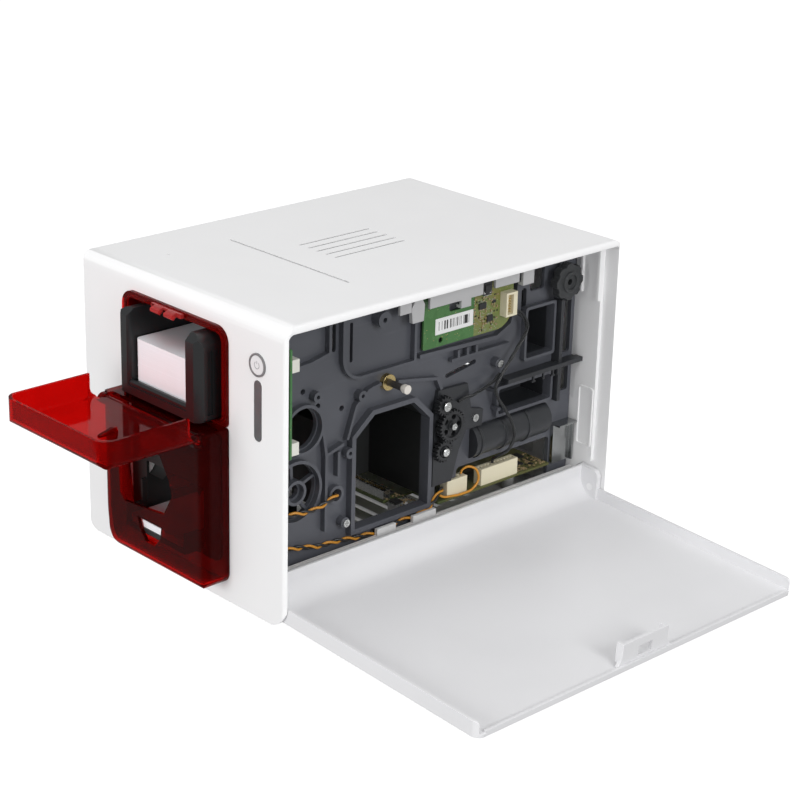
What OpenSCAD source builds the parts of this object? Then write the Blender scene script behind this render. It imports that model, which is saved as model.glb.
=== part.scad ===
// Desktop ID card printer with its service cover and its feeder door open.
// Frame: +Z up, the front faces -Y, the service side faces +X.
// Origin: on the table, under the middle of the case.

/* [Case] */
// Width of the case over both sides
case_w = 200; // [190:1:215]
// Depth of the case from front face to rear face
case_d = 283; // [270:1:300]
// Height of the case above its feet
case_h = 189; // [180:1:200]
// Thickness of the side and front walls
wall = 3; // [2.4:0.1:3.6]
// Thickness of the roof
roof_t = 4; // [3:0.1:5]
// Thickness of the rear wall
rear_t = 4.5; // [4:0.1:6]
// Radius of the soft edge between front and roof
front_top_r = 10; // [7:0.5:13]
// Radius of the long roof edges
roof_edge_r = 4; // [3:0.5:6]
// Radius of the front face's lower corners
low_corner_r = 16; // [10:0.5:18]
// Radius of the upright edges
upright_r = 4; // [3:0.5:6]
// Height of the rubber feet
foot_h = 5; // [4:0.5:8]
// Radius of the rubber feet
foot_r = 9; // [6:0.5:12]
// Thickness of the base plate
base_t = 3; // [2.4:0.1:4]

/* [Roof] */
// Length of the thin slot across the roof
slot_l = 114; // [90:1:130]
// Width of the thin slot
slot_w = 1.6; // [1:0.1:2.4]
// Distance of the slot behind the front face
slot_back = 85; // [70:1:110]
// Number of vent slits
vent_n = 5; // [3:1:7]
// Length of a vent slit
vent_l = 60; // [40:1:80]
// Width of a vent slit
vent_w = 1.8; // [1.2:0.1:2.6]
// Spacing of the vent slits
vent_pitch = 8.4; // [6:0.2:10]

/* [Service cover] */
// How far the hinge axis lies inside the case's side
hinge_inset = 10; // [8:0.5:12]
// Height of the hinge axis above the case's underside
hinge_rise = 14; // [13:0.5:17]
// Angle that the cover stands open
cover_open = 92.8; // [60:0.1:93]
// Thickness of the cover's skin
cover_t = 2.5; // [2:0.1:3]
// Depth of the rims at the cover's two ends
cover_rim = 10; // [7:0.5:12]
// Depth of the lip that wraps under the case
cover_lip = 23; // [20:0.5:25]
// Height of the deep hinge cheeks
cheek_h = 17; // [15:0.5:21]
// Radius of the hinge pivots
pivot_r = 2.5; // [2:0.1:3]
// Width of the latch tongue
tongue_w = 40; // [30:1:50]
// Length of the latch tongue
tongue_l = 17; // [12:0.5:20]

/* [Feeder and hopper] */
// Middle of the feeder from the middle of the case
feeder_x = -2.5; // [-6:0.5:2]
// Width of the feeder, its door and the hopper
feeder_w = 101; // [96:1:108]
// Distance of the feeder frame below the case's top
feeder_drop = 13.1; // [10:0.1:18]
// Height of the hopper's underside above the table
hopper_low = 17; // [14:0.5:22]
// How far the hopper stands out of the front face
hopper_out = 19.5; // [16:0.5:24]
// Wall of the hopper and of the door
red_wall = 2.2; // [1.6:0.1:2.8]
// Height of the feeder frame
frame_h = 62; // [58:0.5:64]
// How far the feeder frame stands out of the front face
frame_out = 2.3; // [1.5:0.1:3.5]
// Width of the feeder frame's flange
frame_flange = 4; // [3:0.5:6]
// Length of the door from its hinge to its front
door_l = 70; // [66:0.5:72]
// Radius of the door's barrel
barrel_r = 3.2; // [2.8:0.1:3.6]
// Width of the card magazine
magazine_w = 80; // [76:1:84]
// Depth of the card magazine
magazine_d = 99; // [98:1:106]
// Height of the card magazine
magazine_h = 54; // [50:0.5:56]
// How far the magazine stands out of the front face
magazine_out = 14.5; // [11:0.5:15]

/* [Cards] */
// Width of a card
card_w = 54; // [54:0.1:54]
// Length of a card
card_l = 85.6; // [85.6:0.1:85.6]
// Height of the stack of blank cards
stack_h = 30; // [10:0.5:32]
// Height of the printed cards in the hopper
out_h = 4.6; // [1:0.1:6]

/* [Controls] */
// Radius of the power button
button_r = 5.9; // [5:0.1:7]
// Travel of the power button
button_travel = 1.2; // [0.8:0.1:1.6]
// Distance of the button from the case's side
button_side = 25.5; // [22:0.5:30]
// Distance of the button below the roof
button_drop = 28; // [24:0.5:32]
// Width of the status light
light_w = 6.6; // [5:0.1:8]
// Length of the status light
light_l = 37.4; // [30:0.1:44]

/* [Mechanism] */
// Depth of the chassis face inside the case's side
chassis_inset = 34; // [32:0.5:36]
// Thickness of the chassis plate
chassis_t = 3; // [2.4:0.1:4]
// Height of the chassis ribs
rib_h = 4; // [3:0.2:5]
// Width of the chassis ribs
rib_w = 2; // [1.6:0.1:2.6]
// Module of the gear teeth
gear_m = 0.8; // [0.8:0.05:0.9]
// Teeth of the drive gear
drive_teeth = 26; // [24:1:28]
// Teeth of the pinion
pinion_teeth = 15; // [14:1:17]
// Teeth of the idler gear
idler_teeth = 17; // [15:1:18]
// Width of the gears
gear_w = 4; // [3:0.2:5]
// Radius of the gear shafts
shaft_r = 1.5; // [1.2:0.1:1.8]
// Radius of the lobed knob
knob_r = 12.5; // [10:0.5:13.5]
// Number of lobes on the knob
knob_lobes = 8; // [6:1:10]
// Length of the ribbon spindle
spindle_l = 20; // [14:0.5:24]
// Radius of the ribbon spindle
spindle_r = 2.2; // [1.8:0.1:2.6]
// Thickness of the circuit boards
board_t = 1.6; // [1.2:0.1:2]
// Height of the main board above the table
main_board_z = 33; // [30:0.5:34]
// Radius of the signal wires
wire_r = 0.8; // [0.5:0.05:1]
// Radius of the black cables
cable_r = 1.1; // [0.8:0.05:1.4]

/* [Hidden] */
$fn = 64;
fit_gap = 0.2;       // between fixed pieces
run_gap = 0.05;      // round a turning pin
swing_gap = 0.4;     // beside a swinging panel

side_x = case_w / 2;
front_y = -case_d / 2;
rear_y = case_d / 2;
floor_z = foot_h;
top_z = foot_h + case_h;
front_in = front_y + wall;
rear_in = rear_y - rear_t;
roof_in = top_z - roof_t;
left_in = -side_x + wall;
hopper_top = top_z - feeder_drop - frame_h - 0.4;
small_r = 0.6;       // smallest inner corner

// The inside is drawn for a case of this size and follows the real one.
drawn_case = [200, 283];
drawn_level = [28, 154];     // main board above the underside, top of the chassis above the main board
low_zone = 20;               // height of the parts that stand on the main board
deck_z = main_board_z;
plate_z1 = roof_in - 3;
low_scale = (deck_z - floor_z) / drawn_level[0];
up_scale = (plate_z1 - deck_z - low_zone * low_scale) / (drawn_level[1] - low_zone);
function across(x) = x * case_w / drawn_case[0];
function deep(y) = y * case_d / drawn_case[1];
function high(h) = deck_z + min(h, low_zone) * low_scale + max(h - low_zone, 0) * up_scale;
function at(y, h) = [deep(y), high(h)];

// ---- Prisms along each axis, and outlines ----

module along_x(x0, x1) { translate([x0, 0, 0]) rotate([90, 0, 90]) linear_extrude(x1 - x0) children(); }
module along_y(y0, y1) { translate([0, y1, 0]) rotate([90, 0, 0]) linear_extrude(y1 - y0) children(); }
module along_z(z0, z1) { translate([0, 0, z0]) linear_extrude(z1 - z0) children(); }
module block(lo, hi) { translate(lo) cube(hi - lo); }

// Rectangle from corner a to corner b with its own radius at each corner,
// in the order low-left, low-right, high-right, high-left.
module corner_rect(a, b, r) {
    polygon([
        [a[0] + r[0], a[1]], [b[0] - r[1], a[1]], [b[0], a[1] + r[1]], [b[0], b[1] - r[2]],
        [b[0] - r[2], b[1]], [a[0] + r[3], b[1]], [a[0], b[1] - r[3]], [a[0], a[1] + r[0]]
    ]);
    translate([a[0] + r[0], a[1] + r[0]]) circle(r[0]);
    translate([b[0] - r[1], a[1] + r[1]]) circle(r[1]);
    translate([b[0] - r[2], b[1] - r[2]]) circle(r[2]);
    translate([a[0] + r[3], b[1] - r[3]]) circle(r[3]);
}
module round_rect(a, b, r) { corner_rect(a, b, [r, r, r, r]); }

// Straight slot between two points with round ends.
module slot(p, q, w) {
    run = q - p;
    translate(p) rotate(atan2(run[1], run[0])) translate([0, -w / 2]) square([norm(run), w]);
    translate(p) circle(w / 2);
    translate(q) circle(w / 2);
}

// Rib of width w along a line of points, mitred at its bends.
function unit(v) = v / norm(v);
function clamp(i, n) = min(max(i, 0), n);
function mitre(p, i, w) =
    let (last = len(p) - 1, a = unit(p[clamp(i, last - 1) + 1] - p[clamp(i, last - 1)]),
        b = i == 0 ? a : unit(p[i] - p[i - 1]), m = unit([-a[1] - b[1], a[0] + b[0]]))
    m * w / 2 / (m * [-b[1], b[0]]);
module rib(p, w) {
    last = len(p) - 1;
    polygon(concat(
        [for (i = [0:last]) p[i] + mitre(p, i, w)],
        [for (i = [last:-1:0]) p[i] - mitre(p, i, w)]));
}

// Quarter of a ring, from angle a0 to a0 + 90.
module quarter_ring(c, r, a0, w) {
    translate(c) rotate(a0) intersection() {
        difference() {
            circle(r + w / 2);
            circle(r - w / 2);
        }
        square(r + w);
    }
}
module ring(c, r, w) {
    translate(c) difference() {
        circle(r + w / 2);
        circle(r - w / 2);
    }
}

// Block with rounded edges: radii of the front view, the side view and the plan.
module rounded_block(lo, hi, r_front, r_side, r_plan) {
    intersection() {
        along_y(lo[1], hi[1]) corner_rect([lo[0], lo[2]], [hi[0], hi[2]], r_front);
        along_x(lo[0], hi[0]) corner_rect([lo[1], lo[2]], [hi[1], hi[2]], r_side);
        along_z(lo[2], hi[2]) corner_rect([lo[0], lo[1]], [hi[0], hi[1]], r_plan);
    }
}

// ---- Hinge of the service cover ----

cover_x = side_x - hinge_inset;
cover_z = floor_z + hinge_rise;
land = 2;                                   // end walls left outside the cover
land_depth = cover_rim + 2;                 // how far that thin strip reaches in
cover_low = floor_z + wall;                 // underside of the closed cover
cover_top = roof_in - 1.6;                  // free edge of the closed cover
cover_end = case_d / 2 - land - swing_gap;  // half length of the cover
lip_x = side_x - cover_lip;
swing_r = norm([cover_x - lip_x, cover_z - cover_low]) + 0.6;
tray_x = cover_x - swing_r - 0.2;           // right side of the base

// ---- Case ----

window_lo = [-75, 20];                      // rear opening, from the middle and the underside
window_hi = [35, 82];

// The feeder's hole in the front, in X and Z
pocket_x0 = feeder_x - feeder_w / 2 + frame_flange - 1.6;
pocket_x1 = feeder_x + feeder_w / 2 - frame_flange + 1.6;
frame_z0 = hopper_top + 0.4;
frame_z1 = frame_z0 + frame_h;
pocket_z0 = frame_z0 + 0.8;
pocket_z1 = frame_z1 - frame_flange + 1.6;
button_x = side_x - button_side;
button_z = top_z - button_drop;
light_z1 = button_z - button_r - 3.8;
ring_r = button_r + 1.2;

module case_shell() {
    color([0.93, 0.93, 0.93]) difference() {
        rounded_block([-side_x, front_y, floor_z], [side_x, rear_y, top_z],
            [low_corner_r - 2, low_corner_r, roof_edge_r, roof_edge_r + 2],
            [small_r, small_r, roof_edge_r + 2, front_top_r],
            [upright_r + 2, upright_r, upright_r, upright_r]);
        // Hollow, open on the service side and below
        intersection() {
            along_x(left_in, side_x + 1)
                corner_rect([front_in, floor_z - 1], [rear_in, roof_in],
                    [small_r, small_r, small_r, max(front_top_r - wall, 1)]);
            along_y(front_in, rear_in)
                corner_rect([left_in, floor_z - 20], [side_x + 20, roof_in],
                    [small_r, small_r, small_r, 3]);
        }
        // Thin strips that the cover's ends lie behind
        along_x(side_x - land_depth, side_x + 1) corner_rect([front_y + land, floor_z - 1],
            [rear_y - land, roof_in], [small_r, small_r, 3, 3.5]);
        translate([cover_x, 0, cover_z]) rotate([90, 0, 0])
            cylinder(r = swing_r, h = case_d - 2 * land, center = true);
        roof_cuts();
        front_cuts();
        rear_cuts();
    }
    color([0.93, 0.93, 0.93]) {
        for (end = [-1, 1]) pivot(end);
        rear_ribs();
    }
}

module roof_cuts() {
    along_z(roof_in - 1, top_z + 1) {
        translate([0, front_y + slot_back]) square([slot_l, slot_w], center = true);
        for (i = [0:vent_n - 1])
            translate([-3 + (i - (vent_n - 1) / 2) * vent_pitch, 0]) {
                square([vent_w, vent_l - vent_w], center = true);
                for (s = [-1, 1]) translate([0, s * (vent_l - vent_w) / 2]) circle(vent_w / 2);
            }
        translate([-55, front_y + slot_back - 50]) circle(0.9);
    }
}

module front_cuts() {
    along_y(front_y - 1, front_in + 8) {
        round_rect([pocket_x0, pocket_z0], [pocket_x1, pocket_z1], 7);
        translate([button_x, button_z]) circle(ring_r + 0.1);
        light_outline(fit_gap);
        // Card exit behind the hopper
        translate([feeder_x, hopper_low + 36]) square([card_w + 6, 48], center = true);
    }
}

module light_outline(gap) {
    round_rect([button_x - light_w / 2 - gap, light_z1 - light_l - gap],
        [button_x + light_w / 2 + gap, light_z1 + gap], light_w / 2);
}

// Window in the rear wall, grown by the given rim
module window(rim, r) {
    round_rect([window_lo[0] - rim, floor_z + window_lo[1] - rim],
        [window_hi[0] + rim, floor_z + window_hi[1] + rim], r);
}

window_rim = 3;                              // ledge that the rear panel lies in
window_rim_d = 2.5;
module rear_cuts() {
    along_y(rear_in - 1, rear_y + 1) window(0, 4);
    along_y(rear_y - window_rim_d, rear_y + 1) window(window_rim, 6);
}

// Fixed pivot that stands out of an end wall into the cover's cheek.
module pivot(end) {
    translate([cover_x, end * (case_d / 2 - land + 0.2), cover_z]) rotate([end * 90, 0, 0])
        cylinder(r = pivot_r, h = cheek_t + swing_gap + 0.2);
}

// Upright ribs moulded on the inside of the rear wall.
module rear_ribs() {
    // Each rib: distance from the side, and length
    for (r = [[15, 40], [30, 37]])
        along_z(roof_in - r[1], roof_in) translate([side_x - r[0], rear_in - 1.8])
            corner_rect([0, 0], [3, 2], [0.8, 0.8, 0.05, 0.05]);
    along_y(rear_in - 0.8, rear_in + 0.2) difference() {
        round_rect([side_x - 26, roof_in - 144], [side_x - 13, roof_in - 102], 2);
        round_rect([side_x - 25, roof_in - 143], [side_x - 14, roof_in - 103], 1.4);
    }
}

// ---- Base ----

tab_y = [[-43, -27], [-12, 8]];              // raised tabs along the sill
sill_z = high(-4.5);
sill_t = 2.5;
post_r = 4;
post_xy = [for (x = [-35, 38], y = [3, 110]) [across(x), deep(y)]];
base_vent_x = [-60, 30];
base_vent_y = [-90:14:90];
base_vent_w = 4;

module base_tray() {
    color([0.9, 0.9, 0.9]) {
        difference() {
            along_z(floor_z, floor_z + base_t)
                corner_rect([left_in + fit_gap, front_in + fit_gap], [tray_x, rear_in - fit_gap],
                    [3, small_r, small_r, 3]);
            for (y = base_vent_y) block([base_vent_x[0], y, floor_z - 1],
                [base_vent_x[1], y + base_vent_w, floor_z + base_t + 1]);
        }
        block([tray_x - sill_t, front_in + fit_gap, floor_z], [tray_x, rear_in - fit_gap, sill_z]);
        for (t = tab_y) block([tray_x - sill_t, deep(t[0]), sill_z - 1], [tray_x, deep(t[1]), high(0)]);
        for (p = post_xy) translate([p[0], p[1], floor_z]) cylinder(r = post_r, h = main_board_z - floor_z);
    }
}

foot_xy = [for (x = [-side_x + 24, tray_x - foot_r - 4], y = [front_y + 28, rear_y - 28]) [x, y]];
module feet() {
    color([0.15, 0.15, 0.15]) for (p = foot_xy) translate([p[0], p[1], 0]) {
        rotate_extrude() polygon([[0, 0], [foot_r - 1, 0], [foot_r, 1], [foot_r, floor_z], [0, floor_z]]);
    }
}

// ---- Rear sockets ----

panel_y = rear_y - window_rim_d;
socket_z = floor_z + 40;                     // the sockets' common centre line
dc_x = -55;
dc_r = 6;
usb_x = -25;
usb_size = [12, 11];
usb_skin = 0.6;
net_x = 5;
net_size = [16, 13.5];
panel_slots = 7;
panel_slot = [9, 2.4];
panel_pitch = 13;

module rear_panel() {
    both = [2 * fit_gap, 2 * fit_gap];
    color([0.8, 0.8, 0.8]) along_y(panel_y, rear_y - 0.4) difference() {
        window(window_rim - fit_gap, 5.8);
        translate([dc_x, socket_z]) circle(dc_r + fit_gap);
        translate([usb_x, socket_z]) square(usb_size + both, center = true);
        translate([net_x, socket_z]) square(net_size + both, center = true);
        for (i = [0:panel_slots - 1])
            translate([-62 + i * panel_pitch, socket_z + 26]) square(panel_slot, center = true);
    }
}

module dc_inlet() {
    color([0.1, 0.1, 0.1]) translate([dc_x, rear_y - 16, socket_z]) rotate([-90, 0, 0]) {
        difference() {
            cylinder(r = dc_r, h = 16);
            translate([0, 0, 4]) cylinder(r = dc_r - 1.8, h = 13);
        }
        cylinder(r = 1, h = 13);
    }
}

module usb_socket() {
    color([0.75, 0.75, 0.78]) translate([usb_x, 0, socket_z]) {
        difference() {
            along_y(rear_y - 17, rear_y) square(usb_size, center = true);
            along_y(rear_y - 15, rear_y + 1)
                square(usb_size - [2 * usb_skin, 2 * usb_skin], center = true);
        }
        along_y(rear_y - 16, rear_y - 3) square([5.6, 3.2], center = true);
    }
}

module network_socket() {
    color([0.7, 0.7, 0.72]) translate([net_x, 0, socket_z]) difference() {
        along_y(rear_y - 19, rear_y) square(net_size, center = true);
        along_y(rear_y - 16, rear_y + 1) translate([0, -0.8]) square([11.8, 7], center = true);
        along_y(rear_y - 16, rear_y + 1) translate([0, 3.6]) square([6, 2.6], center = true);
    }
}

// ---- Service cover, drawn closed and turned about its hinge ----

cheek_t = 4;
cheek_r = 5;
cover_r = low_corner_r;
free_r = 6;

module opened() {
    translate([cover_x, 0, cover_z]) rotate([0, cover_open, 0])
        translate([-cover_x, 0, -cover_z]) children();
}

module side_cover() {
    color([0.88, 0.88, 0.89]) opened() difference() {
        union() {
            cover_skin();
            for (end = [-1, 1]) scale_y(end) {
                // End rim, and the deep cheek round the pivot
                along_y(cover_end - 2.2, cover_end) cover_rim_outline();
                along_y(cover_end - cheek_t, cover_end) cheek_outline();
            }
            // Low flange along the free edge
            block([side_x - 4, -cover_end + free_r, cover_top - 2],
                [side_x - 1, cover_end - free_r, cover_top]);
        }
        translate([cover_x, 0, cover_z]) rotate([90, 0, 0])
            cylinder(r = pivot_r + run_gap, h = case_d, center = true);
        // Corners of the free edge rounded in the panel's plane
        for (end = [-1, 1]) along_x(side_x - cover_rim - 1, side_x + 1) difference() {
            translate([end * (cover_end - free_r / 2 + 0.5) - free_r / 2 - 0.5, cover_top - free_r])
                square([free_r + 1, free_r + 1]);
            translate([end * (cover_end - free_r), cover_top - free_r]) circle(free_r);
        }
    }
}

module scale_y(end) { if (end > 0) children(); else mirror([0, 1, 0]) children(); }

module cover_outline() {
    intersection() {
        corner_rect([lip_x, cover_low], [side_x, cover_top], [1.2, small_r, small_r, small_r]);
        corner_rect([0, cover_low], [side_x, cover_top], [small_r, cover_r, small_r, small_r]);
    }
}

module cover_skin() {
    along_y(-cover_end, cover_end) difference() {
        cover_outline();
        corner_rect([lip_x - 5, cover_low + cover_t], [side_x - cover_t, cover_top + 5],
            [1, cover_r - cover_t, 1, 1]);
    }
}

module cover_rim_outline() {
    intersection() {
        cover_outline();
        corner_rect([side_x - cover_rim, cover_low + 2], [side_x, cover_top], [small_r, small_r, 0.6, 5]);
    }
}

module cheek_outline() {
    intersection() {
        cover_outline();
        corner_rect([lip_x, cover_low], [side_x, cover_low + cheek_h], [1.2, 1.2, small_r, cheek_r]);
    }
}

module cover_latch() {
    color([0.86, 0.86, 0.87]) opened() {
        difference() {
            along_z(cover_top - 4.4, cover_top - 2) polygon([
                [side_x - 4, -tongue_w / 2 - 3], [side_x - 4, tongue_w / 2 + 3],
                [side_x - 8, tongue_w / 2], [side_x - tongue_l, tongue_w / 2],
                [side_x - tongue_l, -tongue_w / 2], [side_x - 8, -tongue_w / 2]]);
            block([side_x - 12, -6, cover_top - 5], [side_x - 6, 6, cover_top - 1]);
        }
        for (s = [-1, 1]) block([side_x - tongue_l, s * (tongue_w / 2 - 1.2) - 1.2, cover_top - 7.4],
            [side_x - 4, s * (tongue_w / 2 - 1.2) + 1.2, cover_top - 4.4]);
        block([side_x - 4, -tongue_w / 2 - 3, cover_top - 4.4],
            [side_x - cover_t, tongue_w / 2 + 3, cover_top - 2]);
    }
}

// ---- Feeder: frame, latch, magazine and cards ----

feed_x0 = feeder_x - feeder_w / 2;
feed_x1 = feeder_x + feeder_w / 2;
mag_z0 = pocket_z0 + 1 + 2 * fit_gap;
mag_z1 = mag_z0 + magazine_h;
mag_x0 = feeder_x - magazine_w / 2;
mag_x1 = feeder_x + magazine_w / 2;
mag_y0 = front_y - magazine_out;
mag_floor = mag_z0 + 5.4;
well_w = card_w + 2;
stack_y = mag_y0 + 4.2;                     // front edge of the blank cards
liner_d = 8;                                // depth of the frame's pocket behind the front

module magazine_outline(gap) {
    corner_rect([mag_x0 - gap, mag_z0 - gap], [mag_x1 + gap, mag_z1 + gap], [2, 2, 9, 9]);
}

module feeder_frame() {
    color([0.6, 0.03, 0.03]) {
        // Flange on the front face
        along_y(front_y - frame_out, front_y) difference() {
            corner_rect([feed_x0, frame_z0], [feed_x1, frame_z1], [3, 3, 10, 10]);
            frame_opening();
        }
        // Liner through the front wall
        along_y(front_y - 0.2, front_in + liner_d) difference() {
            liner_outline();
            frame_opening();
        }
        // Back of the liner, which holds the magazine
        along_y(front_in + liner_d - 1.6, front_in + liner_d) difference() {
            liner_outline();
            magazine_outline(fit_gap);
        }
    }
}

module liner_outline() {
    round_rect([pocket_x0 + fit_gap, pocket_z0 + fit_gap],
        [pocket_x1 - fit_gap, pocket_z1 - fit_gap], 6.8);
}

module frame_opening() {
    round_rect([feed_x0 + frame_flange, pocket_z0 + fit_gap + 1],
        [feed_x1 - frame_flange, frame_z1 - frame_flange], 6);
}

latch_w = 29;
latch_x = feeder_x - 3;
latch_t = 2.6;
module frame_latch() {
    y1 = front_y - frame_out;
    z1 = frame_z1 - 0.7;
    hook_w = 8;
    color([0.65, 0.08, 0.08]) {
        along_x(latch_x - latch_w / 2, latch_x + latch_w / 2)
            polygon([[y1, z1 - 3], [y1, z1], [y1 - latch_t, z1], [y1 - latch_t, z1 - 3]]);
        for (s = [-1, 1]) along_x(latch_x + s * 6.5 - hook_w / 2, latch_x + s * 6.5 + hook_w / 2)
            polygon([[y1 - latch_t, z1], [y1 - 6.4, z1 - 1.4], [y1 - 6.4, z1 - 3.4],
                [y1 - 4.8, z1 - 4.6], [y1 - latch_t, z1 - 2.6]]);
    }
}

chamfer = 4.5;                              // on the pillars' outer front edges
module card_magazine() {
    well_x0 = feeder_x - well_w / 2;
    well_x1 = feeder_x + well_w / 2;
    y1 = mag_y0 + magazine_d;
    color([0.09, 0.1, 0.1]) {
        difference() {
            intersection() {
                along_y(mag_y0, y1) corner_rect([mag_x0, mag_z0], [mag_x1, mag_z1], [2, 2, 9, 9]);
                along_x(mag_x0, mag_x1) polygon([[mag_y0, mag_z0], [y1, mag_z0], [y1, mag_z1],
                    [mag_y0 + chamfer, mag_z1], [mag_y0, mag_z1 - chamfer]]);
                along_z(mag_z0, mag_z1) polygon([[mag_x0 + chamfer, mag_y0], [mag_x1 - chamfer, mag_y0],
                    [mag_x1, mag_y0 + chamfer], [mag_x1, y1], [mag_x0, y1], [mag_x0, mag_y0 + chamfer]]);
            }
            along_y(mag_y0 - 1, stack_y + card_l + 0.8)
                corner_rect([well_x0, mag_floor], [well_x1, mag_z1 - 4], [small_r, small_r, 4, 4]);
            // Open top between the two pillars
            block([well_x0, mag_y0 - 1, mag_floor], [well_x1, mag_y0 + 26, mag_z1 + 1]);
            // Bevelled mouth of the well, on the left
            along_z(mag_floor, mag_z1 + 1) polygon([[well_x0 - 2.2, mag_y0 - 1], [well_x0 + 5, mag_y0 - 1],
                [well_x0 + 5, mag_y0 + 3], [well_x0, mag_y0 + 3]]);
            // Grooves down the outer cheeks
            for (x = [mag_x0 - 1, mag_x1 - 1.2])
                block([x, mag_y0 + 7, mag_z0 + 4], [x + 2.2, mag_y0 + 11, mag_z1 - 10]);
        }
        // Sill bar in front of the cards
        along_x(well_x0 - 0.5, well_x1 + 0.5) polygon([
            [mag_y0 + 0.6, mag_z0 + 1], [mag_y0 + 0.6, mag_z0 + 7.6], [mag_y0 + 2, mag_z0 + 9],
            [mag_y0 + 3.4, mag_z0 + 9], [mag_y0 + 3.4, mag_z0 + 1]]);
    }
}

module card_stack() {
    color([0.95, 0.93, 0.95]) along_z(mag_floor, mag_floor + stack_h)
        round_rect([feeder_x - card_w / 2, stack_y], [feeder_x + card_w / 2, stack_y + card_l], 3.2);
}

// ---- Feeder door: an open tray on a barrel hinge ----

door_y = front_y - hopper_out - 1;           // hinge axis
door_z = hopper_top - 4.5;
door_low = door_z + 0.5;
door_high = door_z + (front_y - frame_out - swing_gap - door_y);
door_back = door_y - 8.6;                    // back ends of the door's side walls
door_heel = 3.4;                             // how far the walls reach back at their foot
heel_r = 6;
ear_w = 4.2;
pin_r = 1.6;
ear_x0 = feed_x0 + red_wall + swing_gap;     // inner hopper ears
ear_x1 = feed_x1 - red_wall - swing_gap;
barrel_x0 = ear_x0 + ear_w + swing_gap;
barrel_x1 = ear_x1 - ear_w - swing_gap;

module feeder_door() {
    color([0.7, 0.03, 0.02]) {
        difference() {
            rounded_block([feed_x0, door_y - door_l, door_low], [feed_x1, door_back + door_heel, door_high],
                [4, 4, 0.6, 0.6], [6, 0.6, 0.6, 0.6], [10, 10, 0.6, 0.6]);
            rounded_block([feed_x0 + red_wall, door_y - door_l + red_wall, door_low + red_wall],
                [feed_x1 - red_wall, door_back + 20, door_high + 20],
                [2, 2, 0.6, 0.6], [4, 0.6, 0.6, 0.6], [8, 8, 0.6, 0.6]);
            // Back ends of the side walls sweep down to their heels
            along_x(feed_x0 - 1, feed_x1 + 1) {
                translate([door_back + heel_r, door_low + red_wall + heel_r]) circle(heel_r);
                translate([door_back, door_low + red_wall + heel_r]) square([door_heel + 1, 60]);
            }
        }
        block([barrel_x0, door_back - 1, door_low], [barrel_x1, door_y, door_low + red_wall]);
        along_x(barrel_x0, barrel_x1) translate([door_y, door_z]) circle(barrel_r);
        along_x(barrel_x0 - swing_gap - ear_w + 0.6, barrel_x1 + swing_gap + ear_w - 0.6)
            translate([door_y, door_z]) circle(pin_r);
        // Catch moulded on the floor, near the right side
        along_x(feeder_x + 8, feeder_x + 10.4) polygon([
            [door_y - 44, door_low + 1], [door_y - 30, door_low + 1], [door_y - 31, door_low + 6],
            [door_y - 34, door_low + 6], [door_y - 43, door_low + 3.6]]);
    }
}

// ---- Hopper below the feeder ----

hopper_y = front_y - hopper_out;
taper_z = hopper_low + 45;                   // where the left side starts to lean in
taper_x = 5;
window_drawn = 101.5;                        // hopper height that its windows are drawn for

module hopper_outline(gap) {
    x0 = feed_x0 + gap;
    x1 = feed_x1 - gap;
    z0 = hopper_low + gap;
    z1 = hopper_top - gap;
    corner_rect([x0 + taper_x, z0], [x1, z1], [15 - gap, 8 - gap, 2, 2]);
    corner_rect([x0, taper_z], [x1, z1], [0.1, 0.1, 2, 2]);
    polygon([[x0, taper_z + 1], [x0, taper_z], [x0 + taper_x, z0 + 15 - gap], [x0 + 20, z0 + 15 - gap],
        [x0 + 20, taper_z + 1]]);
}

// Solid hopper form, set in by gap; back is where it ends in Y.
module hopper_form(gap, back) {
    intersection() {
        along_y(hopper_y + gap, back) hopper_outline(gap);
        along_x(feed_x0, feed_x1)
            corner_rect([hopper_y + gap, hopper_low + gap], [back + 1, hopper_top - gap],
                [6 - gap, small_r, small_r, 1.2]);
        along_z(hopper_low, hopper_top)
            corner_rect([feed_x0 + gap, hopper_y + gap], [feed_x1 - gap, back + 1],
                [6 - gap, 6 - gap, small_r, small_r]);
    }
}

module output_hopper() {
    color([0.45, 0.02, 0.02]) {
        difference() {
            hopper_form(0, front_y);
            hopper_form(red_wall, front_y + 2);
            // Window and finger notch in the front
            translate([feeder_x, 0, hopper_low]) scale([1, 1, (hopper_top - hopper_low) / window_drawn])
                along_y(hopper_y - 1, hopper_y + red_wall + 0.5) {
                polygon([[-33, 39], [-28, 34.5], [-2, 37], [11, 38.5], [19.5, 53], [16.5, 63], [8, 76],
                    [-26, 76], [-34, 66]]);
                polygon([[-15.5, 28.4], [8.5, 28.4], [7.5, 21], [1.5, 14], [-6.5, 14], [-12.5, 20]]);
            }
            // Room for the door's barrel
            block([barrel_x0 - swing_gap, hopper_y - 1, door_z - 4.2],
                [barrel_x1 + swing_gap, hopper_y + red_wall + 1.6, hopper_top + 1]);
            ear_bores();
        }
        difference() {
            for (x = [ear_x0, ear_x1 - ear_w]) along_x(x, x + ear_w) {
                translate([door_y, door_z]) circle(4);
                translate([door_y, door_z - 4]) square([3 + red_wall, 8]);
            }
            ear_bores();
        }
    }
}

module ear_bores() {
    along_x(barrel_x0 - swing_gap - ear_w - 0.2, barrel_x1 + swing_gap + ear_w + 0.2)
        translate([door_y, door_z]) circle(pin_r + run_gap);
}

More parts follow.
